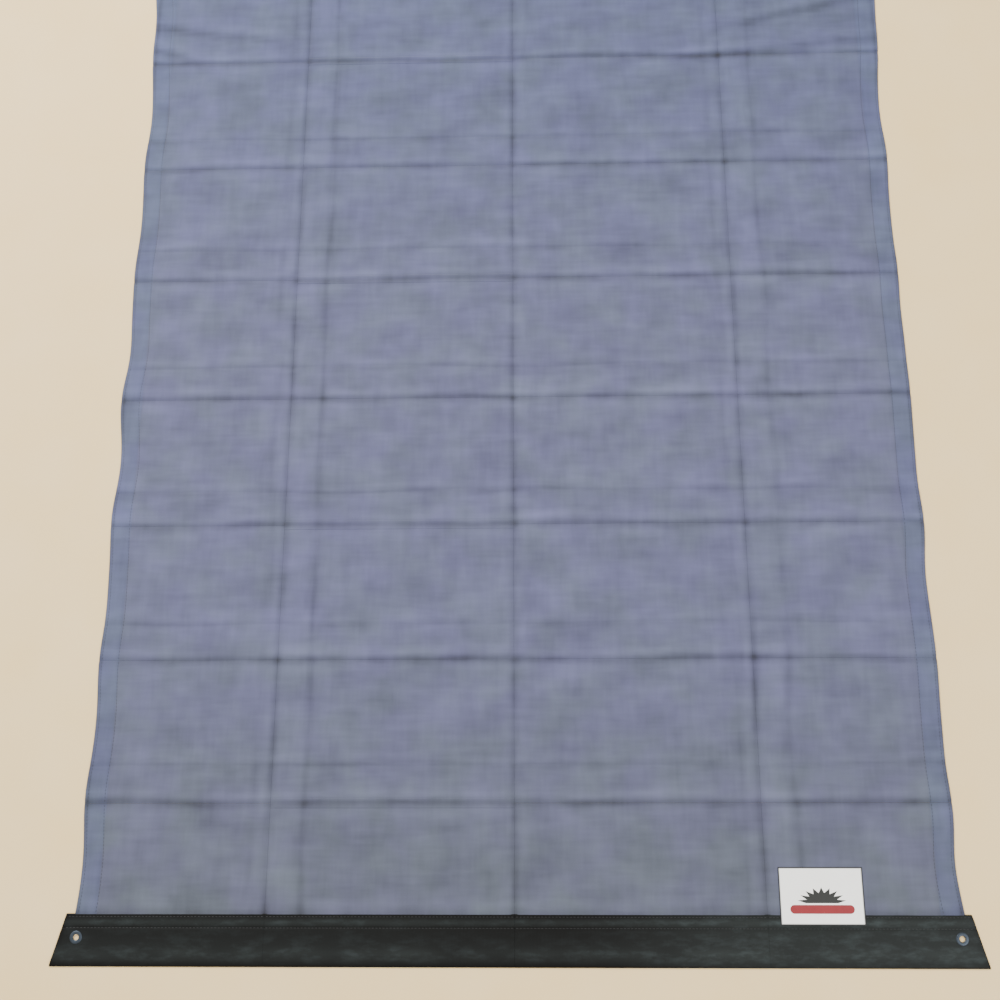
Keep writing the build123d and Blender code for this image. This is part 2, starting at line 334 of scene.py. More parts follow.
@dataclass(frozen=True)
class Ripple:
    """Smooth, repeatable unevenness: a sum of sine waves in fixed random directions.

    Attributes:
        seed: Which set of waves.
        shortest: The shortest wave.
        longest: The longest wave.
        waves: How many are summed.
    """

    seed: int
    shortest: float
    longest: float
    waves: int = 14

    def __call__(self, x: np.ndarray, y: np.ndarray) -> np.ndarray:
        """Returns the unevenness at each point, mostly between -1 and 1."""
        draw = np.random.default_rng(self.seed)
        total = np.zeros(np.broadcast(x, y).shape)
        for _ in range(self.waves):
            turn, phase = draw.uniform(0, 2 * math.pi, 2)
            wave = 2 * math.pi / draw.uniform(self.shortest, self.longest)
            total = total + np.sin(wave * (x * math.cos(turn) + y * math.sin(turn)) + phase)
        return total / math.sqrt(self.waves)


@dataclass(frozen=True)
class Shell:
    """A closed sheet on a grid of points: a top face, an underside and a rim.

    Attributes:
        x: The grid's x places, by column and row.
        y: Its y places.
        top: The height of the top face.
        bottom: The height of the underside.
    """

    x: np.ndarray
    y: np.ndarray
    top: np.ndarray
    bottom: np.ndarray

    def build(self, name: str, materials: list) -> bpy.types.Object:
        """Makes the piece.

        Args:
            name: The piece's name.
            materials: The top face's material, and the underside's if it differs.

        Returns:
            The object.
        """
        across, along = self.x.shape
        count = across * along
        points = np.concatenate([
            np.stack([self.x, self.y, self.top], axis=-1).reshape(-1, 3),
            np.stack([self.x, self.y, self.bottom], axis=-1).reshape(-1, 3),
        ])
        number = np.arange(count).reshape(across, along)
        quads = np.stack([number[:-1, :-1], number[1:, :-1], number[1:, 1:], number[:-1, 1:]], axis=-1)
        quads = quads.reshape(-1, 4)
        rim = np.concatenate([number[:, 0], number[-1, 1:], number[-2::-1, -1], number[0, -2::-1]])
        following = rim[1:]
        rim = rim[:-1]
        sides = np.stack([rim, rim + count, following + count, following], axis=-1)
        faces = np.concatenate([quads, quads[:, ::-1] + count, sides])
        index = [0] * len(quads) + [len(materials) - 1] * len(quads) + [0] * len(sides)
        return make_piece(name, points, faces.tolist(), materials, index)


def grid_lines(low: float, high: float, features: tuple, step: float = 7 * MM) -> np.ndarray:
    """Spaces grid lines evenly, and closely beside creases and seams.

    Args:
        low: The first line.
        high: The last line.
        features: The places that need close lines.
        step: The usual spacing.

    Returns:
        The places of the lines, in order.
    """
    offsets = [0, 0.5, 1.0, 1.6, 2.4, 3.4, 4.8, 6.2, 9.0, 13.0]
    closest = 0.35 * MM
    close = [f + side * o * MM for f in features for o in offsets for side in (-1, 1)]
    even = np.linspace(low, high, max(2, round((high - low) / step)))
    wanted = sorted([v for v in close if low < v < high] + even[1:-1].tolist())
    kept = [low]
    for value in wanted:
        if value - kept[-1] > closest and high - value > closest:
            kept.append(value)
    return np.array(kept + [high])


# --------------------------------------------------------------------------- where things are


@dataclass(frozen=True)
class Layout:
    """The places of the creases and edges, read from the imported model.

    Attributes:
        columns: The left edge, the three column creases and the right edge.
        rows: The near end, the seven row creases and the far end.
        slit: What the cloth of two neighbouring panels leaves between it.
        band_reach: How far an end band lies over the sheet.
        overhang: How far it stands out past the sheet's end.
    """

    columns: tuple[float, ...]
    rows: tuple[float, ...]
    band_reach: float
    overhang: float
    slit: float = 0.1 * MM

    @classmethod
    def from_frame(cls) -> "Layout":
        """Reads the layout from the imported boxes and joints."""
        place = {joint["name"]: joint["pos_m"] for joint in frame["joints"]}
        near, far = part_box("panel_1a")[0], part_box("panel_8d")[1]
        folds = [place[name][0] for name in ("left_flap_1", "centre_fold_1", "right_flap_1")]
        band_low, band_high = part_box("near_band_b")
        return cls(
            columns=(near.x, *folds, far.x),
            rows=(near.y, *[place[f"row_fold_{i}"][1] for i in ROWS if i < len(ROWS)], far.y),
            band_reach=band_high.y - near.y,
            overhang=near.y - band_low.y,
        )

    def span_x(self, column: Column) -> tuple[float, float]:
        """Returns a column's low and high x, with half the slit left at each crease."""
        number = list(Column).index(column)
        low, high = self.columns[number:number + 2]
        low += self.slit / 2 if number else 0
        high -= self.slit / 2 if number < len(Column) - 1 else 0
        return low, high

    def span_y(self, row: int) -> tuple[float, float]:
        """Returns a row's low and high y, with half the slit left at each crease."""
        low, high = self.rows[row - 1:row + 1]
        low += self.slit / 2 if row > 1 else 0
        high -= self.slit / 2 if row < len(ROWS) else 0
        return low, high

    @property
    def band_edges(self) -> tuple[float, float]:
        """The y of the near and the far band's inner edges."""
        return self.rows[0] + self.band_reach, self.rows[-1] - self.band_reach


def is_mountain(row: int) -> bool:
    """Tells whether the crease at the far side of a row folds the undersides together."""
    return row % 2 == 1


# --------------------------------------------------------------------------- finishes


@dataclass(frozen=True)
class Mottle:
    """One layer of unevenness in a cloth's shade.

    Attributes:
        width: The size of its patches along x.
        length: Their size along y.
        strength: How much it lightens and darkens.
        detail: How many finer octaves it has.
    """

    width: float
    length: float
    strength: float
    detail: float = 3.0


@dataclass(frozen=True)
class CoatedPolyester:
    """Woven polyester with a matt coating: streaked by its slubs, with painted shade and painted highlights
    along the folds, no gloss.

    Attributes:
        name: The material's name.
        near: The face's colour by the near band, where it looks greyest.
        middle: Its colour over most of the length.
        far: Its colour at the far end.
        hem: The turned side hem, which shows the cloth's bluer wrong side.
        lengths: Where along y the near and the far colour take over.
        mottles: The layers of unevenness. The first two are the slubs of the warp and the weft, drawn
            1.5 mm apart because the real 0.4 mm is too fine to show.
        thread: The spacing of the drawn weave, twice the real one for the same reason.
        weave_contrast: How much lighter the tops of the threads are painted: a painted highlight.
        brightness: The shade with no painted fold shade, mottles or threads.
        near_fade: The length over which the near colour gives way to the middle one.
        far_fade: The length over which the middle colour gives way to the far one.
        cast_size: The size of the patches with a faint violet or green cast.
        casts: The two casts.
    """

    name: str
    near: str
    middle: str
    far: str
    hem: str
    lengths: tuple[float, float]
    thread: float = 0.8 * MM
    weave_contrast: float = 0.22
    brightness: float = 0.85
    near_fade: float = 0.45
    far_fade: float = 0.75
    cast_size: float = 60 * MM
    casts: tuple[str, str] = ("#fbf8ff", "#f9fff2")
    mottles: tuple[Mottle, ...] = (
        Mottle(1.5 * MM, 36 * MM, 0.06, 2.0),
        Mottle(36 * MM, 1.5 * MM, 0.06, 2.0),
        Mottle(13 * MM, 80 * MM, 0.32, 2.0),
        Mottle(90 * MM, 13 * MM, 0.38, 2.0),
        Mottle(70 * MM, 52 * MM, 0.75, 2.0),
    )

    def build(self) -> bpy.types.Material:
        """Returns the material."""
        material, tree, coords = blank_material(self.name)
        threads = [add_node(tree, "ShaderNodeTexWave", {
            "Vector": coords, "Scale": band_scale(self.thread), "Distortion": 0.8, "Detail": 1.0},
            wave_type="BANDS", bands_direction=axis).outputs["Fac"] for axis in "XY"]
        weave = add_node(tree, "ShaderNodeMath", {
            0: threads[0], 1: threads[1]}, operation="MAXIMUM").outputs[0]
        colour = add_node(tree, "ShaderNodeVectorMath", {
            0: self.colour(tree, coords), "Scale": self.shade(tree, coords, weave)},
            operation="SCALE").outputs[0]
        dress_shader(tree, colour, weave, (0.35, 0.12 * MM), {
            "Roughness": 0.82, "Sheen Weight": 0.10, "Sheen Roughness": 0.6, "Specular IOR Level": 0.3})
        return material

    def colour(self, tree: bpy.types.NodeTree, coords: bpy.types.NodeSocket) -> bpy.types.NodeSocket:
        """Returns the cloth's colour by its place along the blanket, with the hem and the casts."""
        y = add_node(tree, "ShaderNodeSeparateXYZ", {0: coords}).outputs["Y"]
        low, high = self.lengths
        rise = add_node(tree, "ShaderNodeMapRange", {
            "Value": y, "From Min": low, "From Max": low + self.near_fade},
            interpolation_type="SMOOTHSTEP").outputs[0]
        fade = add_node(tree, "ShaderNodeMapRange", {
            "Value": y, "From Min": high - self.far_fade, "From Max": high},
            interpolation_type="SMOOTHSTEP").outputs[0]
        hem = add_node(tree, "ShaderNodeAttribute", attribute_name="hem").outputs["Fac"]
        colour = rgb(self.near)
        for share, other in ((rise, self.middle), (fade, self.far), (hem, self.hem)):
            colour = add_node(tree, "ShaderNodeMix", {
                0: share, 6: colour, 7: rgb(other)}, data_type="RGBA").outputs[2]
        patch = add_node(tree, "ShaderNodeTexNoise", {
            "Vector": coords, "Scale": 1 / self.cast_size, "Detail": 2.0})
        share = add_node(tree, "ShaderNodeMapRange", {
            "Value": patch.outputs["Fac"], "From Min": 0.36, "From Max": 0.64}).outputs[0]
        first, second = self.casts
        cast = add_node(tree, "ShaderNodeMix", {
            0: share, 6: rgb(first), 7: rgb(second)}, data_type="RGBA").outputs[2]
        return add_node(tree, "ShaderNodeMix", {
            0: 1.0, 6: colour, 7: cast}, data_type="RGBA", blend_type="MULTIPLY").outputs[2]

    def shade(self, tree: bpy.types.NodeTree, coords: bpy.types.NodeSocket,
              weave: bpy.types.NodeSocket) -> bpy.types.NodeSocket:
        """Returns how light the cloth is, from its painted fold shade and highlights, its mottles and the
        painted highlights on its threads.
        """
        # The tone attribute holds the painted shade and painted highlights of the folds.
        shade = add_node(tree, "ShaderNodeAttribute", attribute_name="tone").outputs["Fac"]
        for mottle in self.mottles:
            stretched = add_node(tree, "ShaderNodeMapping", {
                "Vector": coords, "Scale": (1 / mottle.width, 1 / mottle.length, 1.0)})
            noise = add_node(tree, "ShaderNodeTexNoise", {
                "Vector": stretched.outputs[0], "Scale": 1.0, "Detail": mottle.detail, "Roughness": 0.7})
            shade = add_node(tree, "ShaderNodeMath", {
                0: noise.outputs["Fac"], 1: mottle.strength, 2: shade}, operation="MULTIPLY_ADD").outputs[0]
        # Painted highlight: the tops of the threads are painted lighter.
        shade = add_node(tree, "ShaderNodeMath", {
            0: weave, 1: self.weave_contrast, 2: shade}, operation="MULTIPLY_ADD").outputs[0]
        even = self.brightness - sum(mottle.strength for mottle in self.mottles) / 2
        return add_node(tree, "ShaderNodeMath", {0: shade, 1: even}, operation="ADD").outputs[0]


@dataclass(frozen=True)
class Webbing:
    """Woven tape: fine ribs across its length, a painted sheen on their tops, paler where it is worn.

    Attributes:
        name: The material's name.
        base: The yarn's colour.
        wear_and_sheen: The colour of the worn, dusty patches.
        rib: The spacing of the drawn ribs.
        wear: How much of the surface looks rubbed, from 0 to 1.
        roughness: The shader's roughness.
        patch: The size of the rubbed patches.
        rib_contrast: How much lighter the tops of the ribs are painted: a painted sheen.
        brightness: The shade between the ribs.
    """

    name: str
    base: str
    wear_and_sheen: str
    rib: float
    wear: float
    roughness: float
    # patch: The size of the worn patches.
    patch: float = 30 * MM
    rib_contrast: float = 0.22
    brightness: float = 0.89

    def build(self) -> bpy.types.Material:
        """Returns the material."""
        material, tree, coords = blank_material(self.name)
        drift = add_node(tree, "ShaderNodeMapping", {"Vector": coords, "Scale": (1.0, 2.6, 1.0)})
        patch = add_node(tree, "ShaderNodeTexNoise", {
            "Vector": drift.outputs[0], "Scale": 1 / self.patch, "Detail": 4.0, "Roughness": 0.65})
        wear_and_sheen = add_node(tree, "ShaderNodeMapRange", {
            "Value": patch.outputs["Fac"],
            "From Min": 0.72 - self.wear / 2, "From Max": 0.95 - self.wear / 3})
        colour = add_node(tree, "ShaderNodeMix", {
            0: wear_and_sheen.outputs[0], 6: rgb(self.base), 7: rgb(self.wear_and_sheen)}, data_type="RGBA").outputs[2]
        ribs = add_node(tree, "ShaderNodeTexWave", {
            "Vector": coords, "Scale": band_scale(self.rib), "Distortion": 0.6, "Detail": 1.0},
            wave_type="BANDS", bands_direction="X").outputs["Fac"]
        # The tone attribute adds painted shade and painted highlights; the rib tops are painted lighter as a
        # painted sheen.
        tone = add_node(tree, "ShaderNodeAttribute", attribute_name="tone").outputs["Fac"]
        shade = add_node(tree, "ShaderNodeMath", {
            0: ribs, 1: self.rib_contrast, 2: self.brightness}, operation="MULTIPLY_ADD").outputs[0]
        shade = add_node(tree, "ShaderNodeMath", {0: shade, 1: tone}, operation="ADD").outputs[0]
        colour = add_node(tree, "ShaderNodeVectorMath", {
            0: colour, "Scale": shade}, operation="SCALE").outputs[0]
        dress_shader(tree, colour, ribs, (0.4, 0.2 * MM), {
            "Roughness": self.roughness, "Specular IOR Level": 0.15})
        return material


@dataclass(frozen=True)
class Satin:
    """Satin label tape: a fine, even weave with a soft gloss, and an overlocked edge in dark thread.

    Attributes:
        name: The material's name.
        base: The tape's colour.
        edge: The edging thread's colour.
        thread: The spacing of the drawn weft.
        soil: The size of the faintly soiled patches.
    """

    name: str
    base: str
    edge: str
    thread: float
    soil: float = 20 * MM

    def build(self) -> bpy.types.Material:
        """Returns the material."""
        material, tree, coords = blank_material(self.name)
        weft = add_node(tree, "ShaderNodeTexWave", {
            "Vector": coords, "Scale": band_scale(self.thread), "Distortion": 1.0},
            wave_type="BANDS", bands_direction="Y").outputs["Fac"]
        soil = add_node(tree, "ShaderNodeTexNoise", {
            "Vector": coords, "Scale": 1 / self.soil, "Detail": 3.0}).outputs["Fac"]
        shade = add_node(tree, "ShaderNodeMath", {
            0: soil, 1: 0.10, 2: 0.92}, operation="MULTIPLY_ADD").outputs[0]
        colour = add_node(tree, "ShaderNodeVectorMath", {
            0: rgb(self.base)[:3], "Scale": shade}, operation="SCALE").outputs[0]
        edging = add_node(tree, "ShaderNodeAttribute", attribute_name="edging").outputs["Fac"]
        colour = add_node(tree, "ShaderNodeMix", {
            0: edging, 6: colour, 7: rgb(self.edge)}, data_type="RGBA").outputs[2]
        dress_shader(tree, colour, weft, (0.25, 0.08 * MM), {"Roughness": 0.5})
        return material


@dataclass(frozen=True)
class Hard:
    """A hard finish, moulded or metal: one base colour, clouded and grained at a stated size.

    Attributes:
        name: The material's name.
        base: The colour.
        worn: The colour of the clouded parts.
        grain: The size of the surface grain.
        roughness: The shader's roughness, varied by the grain.
        metallic: 1 for bare metal.
        relief: How high the grain stands.
        cloud: How many grains wide a cloud is.
        unevenness: How much the grain varies the roughness.
    """

    name: str
    base: str
    worn: str
    grain: float
    roughness: float
    metallic: float = 0.0
    relief: float = 0.02 * MM
    cloud: float = 18
    unevenness: float = 0.16

    def build(self) -> bpy.types.Material:
        """Returns the material."""
        material, tree, coords = blank_material(self.name)
        grain = add_node(tree, "ShaderNodeTexNoise", {
            "Vector": coords, "Scale": 1 / self.grain, "Detail": 2.0}).outputs["Fac"]
        cloud = add_node(tree, "ShaderNodeTexNoise", {
            "Vector": coords, "Scale": 1 / (self.cloud * self.grain), "Detail": 3.0}).outputs["Fac"]
        colour = add_node(tree, "ShaderNodeMix", {
            0: cloud, 6: rgb(self.base), 7: rgb(self.worn)}, data_type="RGBA").outputs[2]
        rough = add_node(tree, "ShaderNodeMath", {
            0: grain, 1: self.unevenness, 2: self.roughness - self.unevenness / 2},
            operation="MULTIPLY_ADD").outputs[0]
        dress_shader(tree, colour, grain, (0.5, self.relief), {"Metallic": self.metallic})
        tree.links.new(rough, tree.nodes["Principled BSDF"].inputs["Roughness"])
        return material


@dataclass
class Finishes:
    """Every material of the blanket, built once.

    Attributes:
        lengths: The y of the near and the far end.
    """

    lengths: tuple[float, float]
    face: bpy.types.Material = field(init=False)
    back: bpy.types.Material = field(init=False)
    band: bpy.types.Material = field(init=False)
    tape: bpy.types.Material = field(init=False)
    thread: bpy.types.Material = field(init=False)
    label: bpy.types.Material = field(init=False)
    red: bpy.types.Material = field(init=False)
    ink: bpy.types.Material = field(init=False)
    eyelet: bpy.types.Material = field(init=False)
    case: bpy.types.Material = field(init=False)
    rubber: bpy.types.Material = field(init=False)
    steel: bpy.types.Material = field(init=False)
    copper: bpy.types.Material = field(init=False)
    board: bpy.types.Material = field(init=False)
    epoxy: bpy.types.Material = field(init=False)
    brass: bpy.types.Material = field(init=False)

    def __post_init__(self) -> None:
        """Builds the materials."""
        self.face = CoatedPolyester("coated polyester cloth", "#4b4f60", "#50536f", "#474d6c", "#465176",
                                    self.lengths).build()
        self.back = Webbing("uncoated polyester backing", "#2b2f35", "#33383e", 2.0 * MM, 0.5, 0.9).build()
        self.band = Webbing("black polyester webbing", "#0f1212", "#1c2122", 1.6 * MM, 0.5, 0.6).build()
        self.tape = Webbing("crease tape", "#2f333f", "#373c49", 1.2 * MM, 0.3, 0.85).build()
        self.thread = Hard("bonded nylon thread", "#101214", "#1c1f22", 0.25 * MM, 0.5).build()
        self.label = Satin("polyester satin tape", "#fbfcfa", "#0e1115", 0.6 * MM).build()
        self.red = Hard("red embroidery thread", "#740c15", "#8a1620", 0.4 * MM, 0.55).build()
        self.ink = Hard("dark embroidery thread", "#080b0a", "#141917", 0.4 * MM, 0.55).build()
        self.eyelet = Hard("gunmetal-plated brass", "#2c333c", "#424b56", 0.3 * MM, 0.42, 0.8).build()
        self.case = Hard("black ABS", "#16181a", "#202326", 0.35 * MM, 0.46).build()
        self.rubber = Hard("silicone rubber", "#3a3d40", "#4a4e52", 0.5 * MM, 0.7).build()
        self.steel = Hard("zinc-plated steel", "#9fa3a6", "#b9bcbe", 0.4 * MM, 0.34, 1.0).build()
        self.copper = Hard("tinned copper", "#b9b2a8", "#c79a78", 0.6 * MM, 0.38, 1.0).build()
        self.board = Hard("glass-epoxy board", "#1f5a36", "#2b6d44", 0.5 * MM, 0.45).build()
        self.epoxy = Hard("moulded epoxy", "#18191b", "#242628", 0.3 * MM, 0.5).build()
        self.brass = Hard("plated brass", "#b39a5c", "#c9b27a", 0.4 * MM, 0.32, 1.0).build()


# --------------------------------------------------------------------------- the sheet


@dataclass(frozen=True)
class Buckle:
    """A slanting buckle in the cloth near a far corner.

    Attributes:
        side: Which side it is on, -1 or 1.
        start: How far from the near end it meets the side edge.
        slope: How far it rises along y for each length along x, going outwards.
        inner: How far from the middle line it starts.
    """

    side: int
    start: float
    slope: float
    inner: float


@dataclass(frozen=True)
class Relief:
    """The height and the shade of the whole face, in one piece, so that neighbouring panels meet.

    Attributes:
        layout: Where the creases and edges are.
        plateau: The face's usual height.
        groove: How deep a crease is.
        crease_width: How wide its sharp middle is.
        second_row: How far beyond a row crease its fainter twin runs, from the thickness of the stack.
        second_column: The same beside an outer column crease.
        hem: The width of the turned side hem.
        under_band: The cloth's height where a band lies on it.
        ceiling: The most height that the folded stack leaves.
        lowest: The least height of the creased face, away from its edges.
        edge_seam: How far from the side edge the hem's outer seam runs.
        flare: How far each side edge stands out at the far end.
        slanting: The buckles near the far corners.
    """

    layout: Layout
    plateau: float = 1.62 * MM
    groove: float = 0.60 * MM
    crease_width: float = 3.0 * MM
    second_row: float = 46 * MM
    second_column: float = 43 * MM
    hem: float = 25 * MM
    under_band: float = 0.45 * MM
    ceiling: float = 2.14 * MM
    lowest: float = 0.75 * MM
    edge_seam: float = 4 * MM
    flare: float = 9 * MM
    slanting: tuple[Buckle, ...] = (
        Buckle(-1, 1.300, 0.14, 0.30), Buckle(-1, 1.262, 0.30, 0.42),
        Buckle(1, 1.338, 0.24, 0.27), Buckle(1, 1.262, 0.10, 0.20),
    )

    @property
    def row_creases(self) -> tuple[float, ...]:
        """The y of the row creases."""
        return self.layout.rows[1:-1]

    @property
    def column_creases(self) -> tuple[float, ...]:
        """The x of the column creases."""
        return self.layout.columns[1:-1]

    def second_lines_x(self) -> tuple[float, ...]:
        """Returns the x of the fainter column lines."""
        left, _, right = self.column_creases
        return left + self.second_column, right + self.second_column

    def second_lines_y(self) -> tuple[float, ...]:
        """Returns the y of the fainter row lines."""
        return tuple(y + self.second_row for y in self.row_creases[:-1])

    def from_side(self, x: np.ndarray) -> np.ndarray:
        """Returns how far in from the nearer side edge each x is."""
        return self.layout.columns[-1] - np.abs(x)

    def top(self, x: np.ndarray, y: np.ndarray) -> np.ndarray:
        """Returns the height of the face.

        Args:
            x: The places' x.
            y: Their y.

        Returns:
            The heights.
        """
        z = self.plateau + 0.11 * MM * Ripple(3, 70 * MM, 240 * MM)(x, y)
        z = z + 0.04 * MM * Ripple(4, 22 * MM, 60 * MM)(x, y)
        pucker = Ripple(5, 14 * MM, 42 * MM)(x, y)
        creases = [(c, x) for c in self.column_creases] + [(c, y) for c in self.row_creases]
        for place, across in creases:
            away = across - place
            z = z - 0.20 * MM * np.exp(-(away / (11 * MM)) ** 4) + 0.13 * MM * bell(away, 20 * MM) * pucker
            z = z - self.groove * bell(away, self.crease_width)
        wander = 1.6 * MM * Ripple(6, 160 * MM, 420 * MM)(x, y)
        twins = [(c, x) for c in self.second_lines_x()] + [(c, y) for c in self.second_lines_y()]
        for place, across in twins:
            z = z - 0.30 * MM * bell(across - place + wander, 2.2 * MM)
        z = z + self.buckles(x, y)
        side = self.from_side(x)
        z = z - 0.12 * MM * ease(-side, -self.hem - 1 * MM, -self.hem)
        z = z - 0.22 * MM * bell(side - self.hem, 1.2 * MM)
        z = z - 0.12 * MM * bell(side - self.edge_seam, 1.1 * MM)
        z = np.clip(z, self.lowest, self.ceiling)
        z = z - 0.8 * MM * (1 - ease(side, -0.4 * MM, 2.2 * MM))
        near, far = self.layout.band_edges
        bare = ease(y, near - 1.6 * MM, near - 0.4 * MM)
        covered = 1 - bare * (1 - ease(y, far + 0.4 * MM, far + 1.6 * MM))
        return np.minimum(z, z + (self.under_band - z) * covered)

    def buckle_lines(self, x: np.ndarray, y: np.ndarray) -> list:
        """Returns how far each point is from each slanting buckle, and how strong the buckle is there.

        Args:
            x: The places' x.
            y: Their y.

        Returns:
            Pairs of distance and strength.
        """
        half, near = self.layout.columns[-1], self.layout.rows[0]
        fade_in = 0.09
        lines = []
        for buckle in self.slanting:
            along = buckle.side * x
            away = y - near - buckle.start - buckle.slope * (along - half)
            lines.append((away, ease(along, buckle.inner, buckle.inner + fade_in)))
        return lines

    def buckles(self, x: np.ndarray, y: np.ndarray) -> np.ndarray:
        """Returns the height that the buckles add."""
        return sum(strength * (0.42 * MM * bell(away - 9 * MM, 7 * MM) - 0.2 * MM * bell(away, 5 * MM))
                   for away, strength in self.buckle_lines(x, y))

    def edge_shift(self, x: np.ndarray, y: np.ndarray) -> np.ndarray:
        """Returns how far the cloth strays sideways: out at the creases and the bands, in between them.

        Args:
            x: The places' x.
            y: Their y.

        Returns:
            The distances along x.
        """
        layout = self.layout
        pitch = layout.rows[2] - layout.rows[1]
        bow = np.where(x < 0, 2.2, 1.3) * MM * np.cos(2 * math.pi * (y - layout.rows[1]) / pitch)
        flare = self.flare * ease(y, layout.rows[-2] - 60 * MM, layout.rows[-1] - 40 * MM)
        at_band = 1 - ease(y, layout.rows[0], layout.rows[0] + 120 * MM)
        flare = flare + np.where(x < 0, 2.5, 6) * MM * at_band
        stray = bow + flare + 0.9 * MM * Ripple(10, 50 * MM, 220 * MM)(np.sign(x), y)
        return np.sign(x) * ease(np.abs(x), -layout.columns[1] + 12 * MM, layout.columns[-1]) * stray

    def tone(self, x: np.ndarray, y: np.ndarray) -> np.ndarray:
        """Returns the painted shade and painted highlights of the creases, buckles, side edges and the near
        band's edge, with a faint random unevenness, as a share.

        Args:
            x: The places' x.
            y: Their y.

        Returns:
            The added shares, below zero where the cloth is darker.
        """
        blotch = 0.75 + 0.35 * Ripple(7, 60 * MM, 200 * MM)(x, y)
        other = 0.75 + 0.35 * Ripple(11, 60 * MM, 200 * MM)(x, y)
        wander = 1.2 * MM * Ripple(8, 120 * MM, 400 * MM)(x, y)
        total = np.zeros(np.broadcast(x, y).shape)
        # Painted shade in each row crease, with painted highlights on the shoulders beside it.
        for place in self.row_creases:
            away = y - place + wander
            total = total - (0.13 + 0.20 * blotch) * bell(away, 4.8 * MM)
            total = total + 0.22 * other * bell(away - 11 * MM, 5 * MM)
            total = total + 0.10 * blotch * bell(away + 12 * MM, 6 * MM)
        # Painted shade in each column crease, with painted highlights beside it.
        for depth, place in zip((0.27, 0.30, 0.27), self.column_creases):
            away = x - place + wander
            total = total - depth * blotch * bell(away, 4.6 * MM)
            total = total + 0.08 * other * bell(np.abs(away) - 12 * MM, 6 * MM)
        # Painted shade along the fainter row lines, with a painted highlight beyond them.
        for place in self.second_lines_y():
            away = y - place + 2 * wander
            total = total - 0.14 * blotch * bell(away, 4 * MM) + 0.10 * other * bell(away - 10 * MM, 5 * MM)
        # Painted shade along the fainter column lines, with a painted highlight beside them and a third
        # painted dark line.
        for place in self.second_lines_x():
            away = x - place + 2 * wander
            total = total - 0.20 * blotch * bell(away, 4.8 * MM)
            total = total + 0.12 * other * bell(away + 18 * MM, 10 * MM)
            total = total - 0.13 * other * bell(away + 62 * MM, 4 * MM)
        # Painted shade along each buckle, with a painted highlight beyond it.
        for away, strength in self.buckle_lines(x, y):
            total = total + strength * (0.14 * bell(away - 14 * MM, 9 * MM) - 0.34 * bell(away, 8 * MM))
        # Painted shade along the hem's seam groove and at the rolled side edges.
        side = self.from_side(x)
        total = total - 0.08 * bell(side - self.hem, 2.6 * MM) - 0.28 * bell(side, 3.2 * MM)
        # Painted shadow along the near band's inner edge, with a painted highlight just beyond it.
        near, _ = self.layout.band_edges
        total = total - 0.20 * bell(y - near, 5 * MM) + 0.12 * other * bell(y - near - 13 * MM, 5 * MM)
        return total + 0.05 * Ripple(9, 35 * MM, 130 * MM)(x, y)


